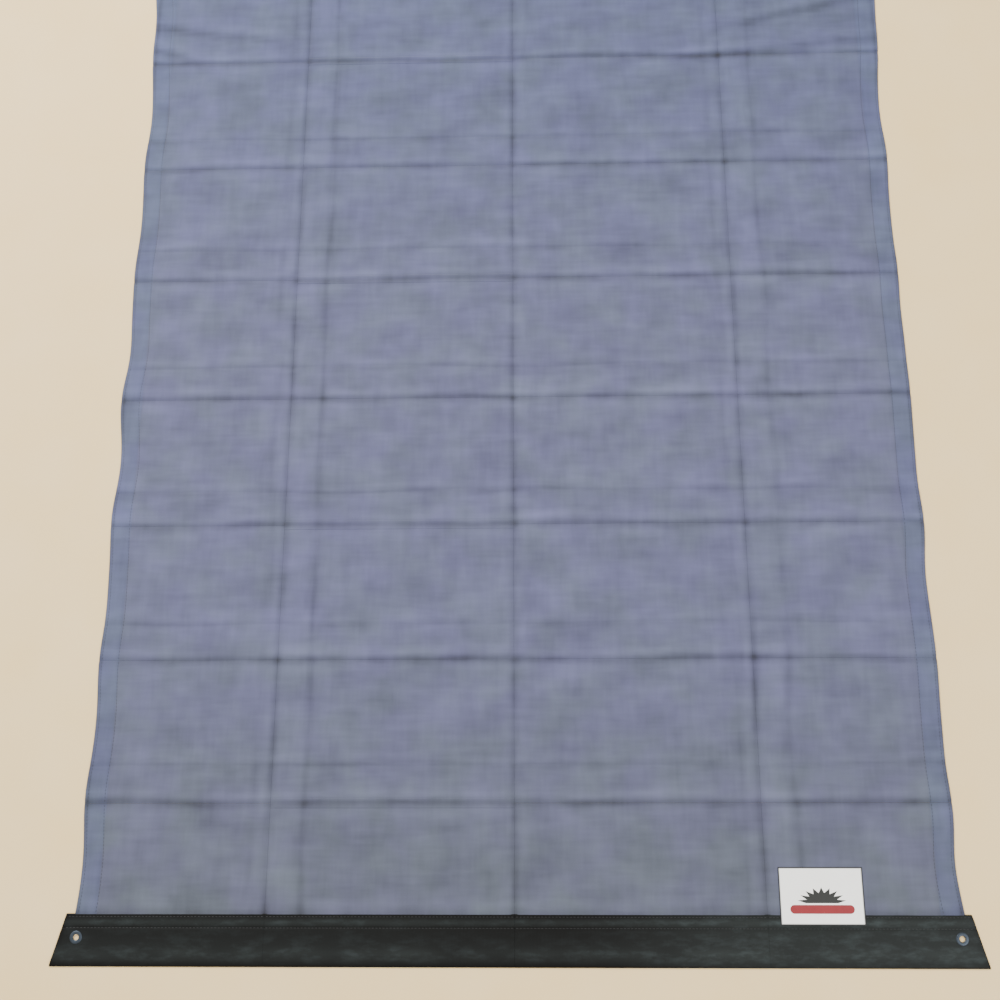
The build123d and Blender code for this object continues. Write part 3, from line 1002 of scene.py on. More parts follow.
@dataclass
class Sheet:
    """The cloth face of the blanket: thirty-two panels, and the strips that hinge them.

    Attributes:
        layout: Where the creases and edges are.
        relief: The face's shape.
        finishes: The materials.
        strip_reach: How far a hinge strip reaches to each side of its crease.
        bend_reach: The part of that which bends.
        strip_thickness: How thick a strip is.
        strip_room: How much higher the panels' underside is over a strip.
        floor_gap: How far the panels' underside is over the floor.
    """

    layout: Layout
    relief: Relief
    finishes: Finishes
    strip_reach: float = 6 * MM
    bend_reach: float = 3 * MM
    strip_thickness: float = 0.28 * MM
    strip_room: float = 0.34 * MM
    floor_gap: float = 0.02 * MM

    def build(self) -> None:
        """Builds every panel and every hinge strip."""
        for row in ROWS:
            for column in Column:
                self.build_panel(row, column)
        for row in ROWS:
            for number, pair in enumerate(zip(list(Column)[:-1], list(Column)[1:])):
                self.build_column_strip(row, self.layout.columns[number + 1], *pair)
        for row in list(ROWS)[:-1]:
            self.build_row_strip(row)

    def recess(self, away: np.ndarray) -> np.ndarray:
        """Returns how much of a panel's thickness a strip takes, at a distance from its crease."""
        inside = 1 - ease(np.abs(away), self.strip_reach, self.strip_reach + 0.3 * MM)
        full = 1 - ease(np.abs(away), 0.5 * self.strip_reach, self.strip_reach)
        return inside * (0.08 * MM + self.strip_thickness * full)

    def room(self, away: np.ndarray) -> np.ndarray:
        """Returns how much higher a panel's underside is, at a distance from a crease with a strip."""
        return self.strip_room * (1 - ease(np.abs(away), self.strip_reach, self.strip_reach + 0.5 * MM))

    def build_panel(self, row: int, column: Column) -> None:
        """Makes one panel's cloth.

        Args:
            row: The row's number, from the near end.
            column: The column.
        """
        low_x, high_x = self.layout.span_x(column)
        low_y, high_y = self.layout.span_y(row)
        hem = self.layout.columns[-1] - self.relief.hem
        features_x = (*self.layout.columns, *self.relief.second_lines_x(), hem, -hem)
        features_y = (*self.relief.row_creases, *self.relief.second_lines_y(), *self.layout.band_edges)
        x, y = np.meshgrid(grid_lines(low_x, high_x, features_x), grid_lines(low_y, high_y, features_y),
                           indexing="ij")
        top = self.relief.top(x, y)
        bottom = np.full(x.shape, self.floor_gap)
        for place in self.relief.column_creases:
            bottom += self.room(x - place)
        if column is Column.INNER_LEFT:
            for crease, place in enumerate(self.relief.row_creases, start=1):
                if is_mountain(crease):
                    top = top - self.recess(y - place)
                else:
                    bottom = np.maximum(bottom, self.floor_gap + self.room(y - place))
        name = f"panel_cloth_{row}{column.value}"
        strayed = x + self.relief.edge_shift(x, y)
        piece = Shell(strayed, y, top, bottom).build(name, [self.finishes.face, self.finishes.back])
        end = {1: End.NEAR, len(ROWS): End.FAR}.get(row)
        if end and column in (Column.LEFT, Column.RIGHT):
            cut(piece, [eyelet_hole(end, column)])
        self.shade(piece)
        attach(piece, f"leaf_{row}{column.value}")
        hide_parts(f"panel_{row}{column.value}")
        LOG.info("panel %s", name)

    def shade(self, piece: bpy.types.Object) -> None:
        """Stores the painted shade and highlights of the folds, and the hem, on a piece, for its material.

        Args:
            piece: The cloth piece.
        """
        x, y, _ = points_of(piece).T
        hem, blur = self.relief.hem, 1 * MM
        turned = 1 - ease(self.relief.from_side(x), hem - blur, hem + blur)
        # tone carries the painted fold shade and painted highlights.
        set_attribute(piece, "tone", self.relief.tone(x, y))
        set_attribute(piece, "hem", 0.3 * turned)

    def build_column_strip(self, row: int, crease: float, left: Column, right: Column) -> None:
        """Makes the strip under a column crease.

        Args:
            row: The row's number.
            crease: The crease's x.
            left: The column on its left.
            right: The column on its right.
        """
        low, high = self.layout.span_y(row)
        under_band = self.layout.overhang - 0.6 * MM
        low -= under_band if row == ROWS[0] else 0
        high += under_band if row == ROWS[-1] else 0
        across = self.strip_lines(crease)
        x, y = np.meshgrid(across, np.linspace(low, high, 13), indexing="ij")
        bottom = np.full(x.shape, 2 * self.floor_gap)
        name = f"crease_tape_{row}{left.value}{right.value}"
        piece = Shell(x, y, bottom + self.strip_thickness, bottom).build(name, [self.finishes.tape])
        self.finish_strip(piece)

    def build_row_strip(self, row: int) -> None:
        """Makes the strip at the crease on the far side of a row, in the column that carries the rows.

        Args:
            row: The row's number.
        """
        crease = self.layout.rows[row]
        low, high = self.layout.span_x(Column.INNER_LEFT)
        if not is_mountain(row):
            low, high = low + 1.1 * self.strip_reach, high - 1.1 * self.strip_reach
        lines = grid_lines(low, high, (*self.layout.columns, *self.relief.second_lines_x()))
        x, y = np.meshgrid(lines, self.strip_lines(crease), indexing="ij")
        if is_mountain(row):
            top = self.relief.top(x, y)
            bottom = top - self.recess(y - crease) + 0.05 * MM
            materials = [self.finishes.face, self.finishes.tape]
        else:
            bottom = np.full(x.shape, 2 * self.floor_gap)
            top = bottom + self.strip_thickness
            materials = [self.finishes.tape]
        piece = Shell(x, y, top, bottom).build(f"crease_tape_row_{row}", materials)
        self.finish_strip(piece)

    def strip_lines(self, crease: float) -> np.ndarray:
        """Returns the grid lines across a strip, close together where it bends."""
        inner = np.linspace(-self.bend_reach, self.bend_reach, 25)
        outer = self.strip_reach
        rest = [0.5 * (outer + self.bend_reach), 0.85 * outer, outer]
        return crease + np.array([-v for v in reversed(rest)] + inner.tolist() + rest)

    def finish_strip(self, piece: bpy.types.Object) -> None:
        """Args:
            piece: The strip.
        """
        self.shade(piece)
        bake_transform(piece)
        LOG.info("crease tape %s", piece.name)


# --------------------------------------------------------------------------- the end bands


def eyelet_node(end: End, column: Column) -> str:
    """Returns the name of the eyelet's node at one end of an outer column."""
    return f"{end.value}_eyelet_{'left' if column is Column.LEFT else 'right'}"


def eyelet_centre(end: End, column: Column) -> Vector:
    """Returns the middle of an eyelet's box."""
    low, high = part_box(eyelet_node(end, column))
    return (low + high) / 2


def eyelet_hole(end: End, column: Column) -> bpy.types.Object:
    """Makes the cutter for an eyelet's hole.

    Args:
        end: The blanket's end.
        column: The outer column.

    Returns:
        An upright cylinder through the cloth.
    """
    centre = eyelet_centre(end, column)
    return plug("hole", Eyelet.barrel_radius + 0.1 * MM, (-4 * MM, 6 * MM), centre.x, centre.y, segments=48)


def lathe(name: str, profile: list, x: float, y: float, materials: list,
          segments: int = 64) -> bpy.types.Object:
    """Turns a closed profile about an upright axis.

    Args:
        name: The piece's name.
        profile: Pairs of radius and height, the outside going up; a ring if it closes on itself.
        x: The axis's x.
        y: The axis's y.
        materials: The piece's materials.
        segments: The steps round the axis.

    Returns:
        The piece.
    """
    solid = profile[0][0] == 0
    points, faces = [], []
    turns = np.linspace(0, 2 * math.pi, segments, endpoint=False)
    rings = []
    for radius, height in profile:
        if radius == 0:
            rings.append([len(points)])
            points.append((x, y, height))
        else:
            rings.append(list(range(len(points), len(points) + segments)))
            points += [(x + radius * math.cos(t), y + radius * math.sin(t), height) for t in turns]
    pairs = list(zip(rings[:-1], rings[1:])) if solid else list(zip(rings, rings[1:] + rings[:1]))
    for lower, upper in pairs:
        for i in range(segments):
            j = (i + 1) % segments
            face = [ring[k % len(ring)] for ring, k in ((lower, i), (lower, j), (upper, j), (upper, i))]
            faces.append(list(dict.fromkeys(face)))
    return make_piece(name, np.array(points), faces, materials)


def plug(name: str, radius: float, heights: tuple[float, float], x: float, y: float,
         segments: int = 32) -> bpy.types.Object:
    """Makes an upright cylinder, to cut with.

    Args:
        name: The cutter's name.
        radius: Its radius.
        heights: Its low and high z.
        x: The axis's x.
        y: The axis's y.
        segments: The steps round the axis.

    Returns:
        The cutter.
    """
    low, high = heights
    return lathe(name, [(0, low), (radius, low), (radius, high), (0, high)], x, y, [], segments)


@dataclass
class EndBand:
    """One black end band, in four lengths, laid over the sheet's end.

    Attributes:
        end: Which end.
        layout: Where the creases and edges are.
        finishes: The materials.
        seam: How far from the inner edge the main seam runs.
        edge_seam: How far from it the seam beside the edge runs.
        fat_edge: How far in from the outer edge the band is thickest.
        height: The band's usual height.
        least_wing: How far the tip stands out past the sheet's side at the inner edge.
        strip_reach: How far the strip under a crease reaches to each side.
        strip_room: The height that the band leaves for it.
    """

    end: End
    layout: Layout
    finishes: Finishes
    seam: float = 16 * MM
    edge_seam: float = 3.2 * MM
    fat_edge: float = 6 * MM
    height: float = 1.62 * MM
    least_wing: float = 12 * MM
    strip_reach: float = 6 * MM
    strip_room: float = 0.36 * MM

    @property
    def outward(self) -> int:
        """The sign of y, from the sheet out to the band's outer edge."""
        return -1 if self.end is End.NEAR else 1

    @property
    def inner_y(self) -> float:
        """The y of the inner edge."""
        return self.layout.band_edges[0 if self.end is End.NEAR else 1]

    @property
    def width(self) -> float:
        """The width from edge to edge."""
        return self.layout.band_reach + self.layout.overhang

    @property
    def row(self) -> int:
        """The row that the band is on."""
        return ROWS[0] if self.end is End.NEAR else ROWS[-1]

    def top(self, x: np.ndarray, across: np.ndarray) -> np.ndarray:
        """Returns the band's height.

        Args:
            x: The places' x.
            across: How far out from the inner edge they are.

        Returns:
            The heights.
        """
        y = self.inner_y + self.outward * across
        z = self.height + 0.05 * MM * Ripple(21, 30 * MM, 120 * MM)(x, y)
        z = z + 0.05 * MM * Ripple(22, 9 * MM, 26 * MM)(x, y)
        z = z + 0.12 * MM * bell(across - 9 * MM, 5 * MM)
        z = z - 0.42 * MM * bell(across - self.seam, 1.3 * MM)
        z = z - 0.2 * MM * bell(across - self.edge_seam, 0.9 * MM)
        z = z + 0.32 * MM * bell(across - (self.width - self.fat_edge), 3.6 * MM)
        for column in (Column.LEFT, Column.RIGHT):
            centre = eyelet_centre(self.end, column)
            away = np.hypot(x - centre.x, y - centre.y)
            z = z + (1.58 * MM - z) * (1 - ease(away, 8.2 * MM, 13 * MM))
        outer = self.width - across
        z = np.minimum(z, 1.86 * MM + 0.26 * MM * ease(across, self.width - 14 * MM, self.width - 9 * MM))
        return z - 0.55 * MM * (1 - ease(across, 0, 1.2 * MM)) - 0.9 * MM * (1 - ease(outer, 0, 2.4 * MM))

    def wing(self, across: np.ndarray) -> np.ndarray:
        """Returns how far the slanting tip stands out past the sheet's side, for each place across."""
        widest = self.layout.columns[0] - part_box(f"{self.end.value}_band_a")[0].x
        return self.least_wing + (widest - self.least_wing) * across / self.width

    def build(self) -> None:
        """Builds the four lengths of the band."""
        for column in Column:
            self.build_length(column)

    def build_length(self, column: Column) -> None:
        """Makes one column's length of the band.

        Args:
            column: The column.
        """
        low, high = self.layout.span_x(column)
        features = (self.seam, self.edge_seam, self.width - self.fat_edge, self.layout.band_reach, 0,
                    self.width)
        lines = grid_lines(0, self.width, features, 4 * MM)
        flat = grid_lines(low, high, self.layout.columns, 5 * MM)
        steps = np.array([0.02, 0.1, 0.25, 0.45, 0.65, 0.82, 0.94, 1.0])
        x, across = np.meshgrid(flat, lines, indexing="ij")
        tip, tip_across = np.meshgrid(steps, lines, indexing="ij")
        if column is Column.LEFT:
            x = np.concatenate([low - (tip * self.wing(tip_across))[::-1], x])
            across = np.concatenate([tip_across, across])
        if column is Column.RIGHT:
            x = np.concatenate([x, high + tip * self.wing(tip_across)])
            across = np.concatenate([across, tip_across])
        y = self.inner_y + self.outward * across
        top = self.top(x, across)
        past_tip = np.maximum(np.abs(x) - self.layout.columns[-1], 0)
        rounded = 1 - ease(self.wing(across) - past_tip, 0, 1.8 * MM)
        top = top - 0.8 * MM * rounded * (np.abs(x) > self.layout.columns[-1])
        over = 1 - ease(across, self.layout.band_reach - 0.8 * MM, self.layout.band_reach)
        over = over * (1 - ease(past_tip, 0, 0.4 * MM))
        bottom = 0.04 * MM + 0.48 * MM * over
        for place in self.layout.columns[1:-1]:
            beside = ease(np.abs(x - place), self.strip_reach, 1.1 * self.strip_reach)
            bottom = np.maximum(bottom, self.strip_room * (1 - beside))
        top = np.maximum(top, bottom + 0.15 * MM)
        name = f"{self.end.value}_band_cloth_{column.value}"
        grids = [grid[:, ::self.outward] for grid in (x, y, top, bottom)]
        piece = Shell(*grids).build(name, [self.finishes.band])
        if column in (Column.LEFT, Column.RIGHT):
            cut(piece, [eyelet_hole(self.end, column)])
        self.shade(piece)
        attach(piece, f"leaf_{self.row}{column.value}")
        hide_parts(f"{self.end.value}_band_{column.value}")
        mean = high - low
        if column in (Column.LEFT, Column.RIGHT):
            mean += float(self.wing(np.array(self.width / 2)))
        LOG.info("band %s", name)

    def shade(self, piece: bpy.types.Object) -> None:
        """Stores the band's painted shade along its edges, seam and tips, and its painted highlights along
        the ridge and the middle, for its material.

        Args:
            piece: The band piece.
        """
        x, y, _ = points_of(piece).T
        across = self.outward * (y - self.inner_y)
        # Painted shade along the inner edge, a painted highlight on the ridge beside it, painted shade in the
        # seam and along the outer edge.
        tone = -0.75 * bell(across - 2 * MM, 4.5 * MM) + 0.9 * bell(across - 9.5 * MM, 3.5 * MM)
        tone = tone - 0.40 * bell(across - self.seam, 3.2 * MM) - 0.85 * bell(across - self.width, 5.5 * MM)
        # Painted shade at the slanting tips.
        past_tip = self.layout.columns[-1] + self.wing(across) - np.abs(x)
        tone = tone - 0.75 * bell(past_tip, 4.5 * MM)
        # Lighter towards +X, and darker near x = 0.04.
        tone = tone + 1.1 * ease(x, 0.06, 0.32) - 0.35 * bell(x - 0.04, 0.16)
        # A streaky painted highlight along the band's middle, and a darker stripe over its left part.
        wear_and_sheen = 1 + 0.5 * Ripple(23, 30 * MM, 140 * MM)(x, y)
        tone = tone + 0.75 * wear_and_sheen * bell(across - 0.74 * self.width, 6 * MM)
        tone = tone - 0.3 * (1 - ease(x, 0.1, 0.25)) * bell(across - 0.38 * self.width, 8 * MM)
        set_attribute(piece, "tone", tone)


@dataclass
class Eyelet:
    """A blackened eyelet and its washer, closed over the band and the sheet.

    Attributes:
        end: The blanket's end.
        column: The outer column that it is in.
        finishes: The materials.
        hole_radius: The radius of its hole.
        barrel_radius: The outside of the barrel, which goes through the cloth.
        flange_radius: The outside of the flange.
    """

    end: End
    column: Column
    finishes: Finishes
    hole_radius: float = 3.5 * MM
    barrel_radius: float = 4.0 * MM
    flange_radius: float = 7.5 * MM

    def build(self) -> None:
        """Makes the eyelet."""
        centre = eyelet_centre(self.end, self.column)
        hole, barrel, flange = self.hole_radius, self.barrel_radius, self.flange_radius
        rolled = [
            (barrel, 0.06 * MM), (barrel, 1.5 * MM), (barrel + 0.15 * MM, 1.62 * MM),
            (flange - 0.5 * MM, 1.60 * MM), (flange, 1.66 * MM), (flange - 0.15 * MM, 1.84 * MM),
            (flange - 0.9 * MM, 2.02 * MM), (barrel + 1.2 * MM, 2.12 * MM), (barrel + 0.3 * MM, 2.10 * MM),
            (hole + 0.12 * MM, 1.92 * MM), (hole, 1.6 * MM), (hole, 0.06 * MM), (hole + 0.1 * MM, 0.02 * MM),
            (barrel - 0.1 * MM, 0.02 * MM),
        ]
        name = eyelet_node(self.end, self.column)
        piece = lathe(f"{name}_ring", rolled, centre.x, centre.y, [self.finishes.eyelet])
        row = ROWS[0] if self.end is End.NEAR else ROWS[-1]
        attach(piece, f"leaf_{row}{self.column.value}")
        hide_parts(name)
        LOG.info("eyelet %s", name)


@dataclass
class Label:
    """The sewn satin label, with a generic mark: a half sun over a plain bar.

    Attributes:
        layout: Where the creases and edges are.
        finishes: The materials.
        edging: The width of the dark overlocked edge.
        lift: The height of its underside.
        thickness: Its thickness.
        stand: How high the mark's thread stands over it.
        embroidery: How thick the mark is.
        bar: Half the length of the bar's straight part, and half its height.
        bar_drop: How far under the label's middle the bar is.
        sun_drop: The same for the sun's flat side.
        sun_radii: The sun's radius at the tips of its rays and between them.
        sun_squash: How high the sun is for its radius.
        rays: How many rays it has.
    """

    layout: Layout
    finishes: Finishes
    edging: float = 1.9 * MM
    lift: float = 1.90 * MM
    thickness: float = 0.2 * MM
    stand: float = 0.07 * MM
    embroidery: float = 0.09 * MM
    bar: tuple[float, float] = (33 * MM, 5 * MM)
    bar_drop: float = 15 * MM
    sun_drop: float = 8 * MM
    sun_radii: tuple[float, float] = (29 * MM, 19 * MM)
    sun_squash: float = 0.62
    rays: int = 9

    def build(self) -> None:
        """Builds the tape and the two embroidered parts of the mark."""
        low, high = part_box("sewn_label")
        lines = [grid_lines(a, b, (a, b), 4 * MM) for a, b in ((low.x, high.x), (low.y, high.y))]
        x, y = np.meshgrid(*lines, indexing="ij")
        bottom = self.lift + 0.006 * MM * Ripple(31, 20 * MM, 70 * MM)(x, y)
        piece = Shell(x, y, bottom + self.thickness, bottom).build("label_tape", [self.finishes.label])
        x, y, _ = points_of(piece).T
        inset = np.minimum.reduce([x - low.x, high.x - x, y - low.y, high.y - y])
        set_attribute(piece, "edging", 1 - ease(inset, 0.6 * self.edging, self.edging))
        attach(piece, "leaf_1d")
        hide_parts("sewn_label")
        centre = (low + high) / 2
        height = self.lift + self.thickness + self.stand
        marks = [self.build_bar(centre, height), self.build_sun(centre, height)]
        LOG.info("label")

    def raised(self, name: str, outline: list, height: float,
               material: bpy.types.Material) -> bpy.types.Object:
        """Makes a thin embroidered patch.

        Args:
            name: The piece's name.
            outline: Its corners, counter-clockwise from above.
            height: The height of its top.
            material: Its thread.

        Returns:
            The piece, riding with the label.
        """
        count = len(outline)
        points = [(x, y, z) for z in (height, height - self.embroidery) for x, y in outline]
        sides = [[i, i + count, (i + 1) % count + count, (i + 1) % count] for i in range(count)]
        faces = [list(range(count)), list(range(2 * count - 1, count - 1, -1)), *sides]
        piece = make_piece(name, np.array(points), faces, [material], smooth=False)
        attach(piece, "leaf_1d")
        return piece

    def build_bar(self, centre: Vector, height: float) -> bpy.types.Object:
        """Makes the red bar with its rounded ends."""
        half, radius = self.bar
        turns = np.linspace(-math.pi / 2, math.pi / 2, 13)
        y = centre.y - self.bar_drop
        right = [(centre.x + half + radius * math.cos(t), y + radius * math.sin(t)) for t in turns]
        left = [(centre.x - half - radius * math.cos(t), y - radius * math.sin(t)) for t in turns]
        return self.raised("label_bar", right + left, height, self.finishes.red)

    def build_sun(self, centre: Vector, height: float) -> bpy.types.Object:
        """Makes the dark half sun, its rays drawn as a saw-edged half disc."""
        base = centre.y - self.sun_drop
        tip, root = self.sun_radii
        outline = []
        for i in range(2 * self.rays + 1):
            turn = math.pi * i / (2 * self.rays)
            radius = tip if i % 2 else root
            outline.append((centre.x + radius * math.cos(turn),
                            base + self.sun_squash * radius * math.sin(turn)))
        return self.raised("label_half_sun", outline, height, self.finishes.ink)


# --------------------------------------------------------------------------- stitches


@dataclass
class Stitches:
    """Runs of lockstitch, laid along lines by geometry nodes and made one mesh for each body.

    Attributes:
        finishes: The materials.
        pitch: From one stitch to the next.
        length: The length of one stitch.
        width: Its width.
        height: How high it stands.
    """

    finishes: Finishes
    pitch: float = 4.2 * MM
    length: float = 3.1 * MM
    width: float = 0.55 * MM
    height: float = 0.26 * MM

    def tree(self) -> bpy.types.NodeTree:
        """Builds the node tree that puts a stitch at each step along the lines.

        Returns:
            The tree, with inputs named Lines, Pitch and Size.
        """
        known = bpy.data.node_groups.get("lockstitch")
        if known:
            return known
        tree, inputs = start_tree(
            "lockstitch", {"Lines": "Geometry", "Pitch": "Float", "Size": "Vector"}, "Stitches")
        tangent = add_node(tree, "GeometryNodeInputTangent")
        turn = add_node(tree, "FunctionNodeAlignRotationToVector", {"Vector": tangent.outputs[0]}, axis="X")
        bead = add_node(tree, "GeometryNodeMeshUVSphere", {"Segments": 8, "Rings": 6, "Radius": 0.5})
        placed = add_node(tree, "GeometryNodeInstanceOnPoints", {
            "Points": steps_along(tree, inputs["Lines"], inputs["Pitch"]),
            "Instance": bead.outputs["Mesh"], "Rotation": turn.outputs[0], "Scale": inputs["Size"]})
        end_tree(tree, placed, self.finishes.thread)
        return tree

    def sew(self, name: str, lines: list, body: str, slot: str) -> bpy.types.Object:
        """Sews along lines on one body.

        Args:
            name: The piece's name.
            lines: Each line as rows of x, y, z.
            body: The body that it rides on.
            slot: The record's material slot; not used.

        Returns:
            The stitches, as a plain mesh.
        """
        points = np.concatenate(lines)
        edges, start = [], 0
        for line in lines:
            edges += [(start + i, start + i + 1) for i in range(len(line) - 1)]
            start += len(line)
        piece = run_tree(name, points.tolist(), edges, self.tree(), {
            "Pitch": self.pitch, "Size": (self.length, self.width, self.height)})
        piece.data.polygons.foreach_set("use_smooth", [True] * len(piece.data.polygons))
        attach(piece, body)
        LOG.info("stitches %s", name)
        return piece


@dataclass
class Sewing:
    """All the visible seams of the sheet and the bands.

    Attributes:
        layout: Where the creases and edges are.
        relief: The face's shape.
        bands: The two end bands.
        stitches: How a seam is sewn.
        short: How far a seam stops from the end of its cloth.
        wing_share: How far out on a band's tip its seams run.
    """

    layout: Layout
    relief: Relief
    bands: list
    stitches: Stitches
    short: float = 3 * MM
    wing_share: float = 0.6

    def build(self) -> None:
        """Sews each body's seams."""
        for row in ROWS:
            for column in Column:
                self.sew_body(row, column)

    def sew_body(self, row: int, column: Column) -> None:
        """Sews the seams of one panel's body, if it has any.

        Args:
            row: The row's number.
            column: The column.
        """
        lines = []
        if column in (Column.LEFT, Column.RIGHT):
            lines += self.hem_lines(row, column)
        for band in self.bands:
            if band.row == row:
                lines += self.band_lines(band, column)
        if lines:
            self.stitches.sew(f"seam_{row}{column.value}", lines, f"leaf_{row}{column.value}", "band_webbing")

    def hem_lines(self, row: int, column: Column) -> list:
        """Returns the two seams of a side hem in one row."""
        low, high = self.layout.span_y(row)
        near, far = self.layout.band_edges
        low, high = max(low, near) + self.short, min(high, far) - self.short
        y = np.linspace(low, high, 40)
        sign = -1 if column is Column.LEFT else 1
        lines = []
        for inset in (self.relief.edge_seam, self.relief.hem):
            x = np.full(y.shape, sign * (self.layout.columns[-1] - inset))
            strayed = x + self.relief.edge_shift(x, y)
            lines.append(np.stack([strayed, y, self.relief.top(x, y) + 0.05 * MM], axis=-1))
        return lines

    def band_lines(self, band: EndBand, column: Column) -> list:
        """Returns the two seams of one length of an end band."""
        low, high = self.layout.span_x(column)
        lines = []
        for across in (band.edge_seam, band.seam):
            on_tip = self.wing_share * float(band.wing(np.array(across)))
            left = low - (on_tip if column is Column.LEFT else -self.short)
            right = high + (on_tip if column is Column.RIGHT else -self.short)
            x = np.linspace(left, right, 60)
            y = np.full(x.shape, band.inner_y + band.outward * across)
            lines.append(np.stack([x, y, band.top(x, np.full(x.shape, across)) + 0.04 * MM], axis=-1))
        return lines


# --------------------------------------------------------------------------- the junction box


def rounded_ring(low: Vector, high: Vector, inset: float, radius: float, height: float,
                 steps: int = 8) -> np.ndarray:
    """Returns the points of a rounded rectangle, counter-clockwise from above.

    Args:
        low: The low corner of the rectangle.
        high: Its high corner.
        inset: How far inside them the ring runs.
        radius: The corner radius with no inset.
        height: The ring's z.
        steps: The steps round each corner.

    Returns:
        One row of x, y, z for each point.
    """
    round_by = max(radius - inset, 0.3 * MM)
    half_x, half_y = (high.x - low.x) / 2 - inset - round_by, (high.y - low.y) / 2 - inset - round_by
    centre = (low + high) / 2
    points = []
    for corner, (sign_x, sign_y) in enumerate(((1, 1), (-1, 1), (-1, -1), (1, -1))):
        for turn in np.linspace(corner * math.pi / 2, (corner + 1) * math.pi / 2, steps + 1):
            points.append((centre.x + sign_x * half_x + round_by * math.cos(turn),
                           centre.y + sign_y * half_y + round_by * math.sin(turn), height))
    return np.array(points)


def loft(name: str, rings: list, materials: list) -> bpy.types.Object:
    """Joins rings of equal length into a closed shell with flat ends.

    Args:
        name: The piece's name.
        rings: The rings, each one row of x, y, z a point.
        materials: The piece's materials.

    Returns:
        The piece.
    """
    count = len(rings[0])
    faces = [list(range(count - 1, -1, -1))]
    for i in range(len(rings) - 1):
        base = i * count
        faces += [[base + j, base + (j + 1) % count, base + count + (j + 1) % count, base + count + j]
                  for j in range(count)]
    faces.append([(len(rings) - 1) * count + j for j in range(count)])
    piece = make_piece(name, np.concatenate(rings), faces, materials)
    piece.data.polygons[0].use_smooth = False
    piece.data.polygons[len(faces) - 1].use_smooth = False
    return piece


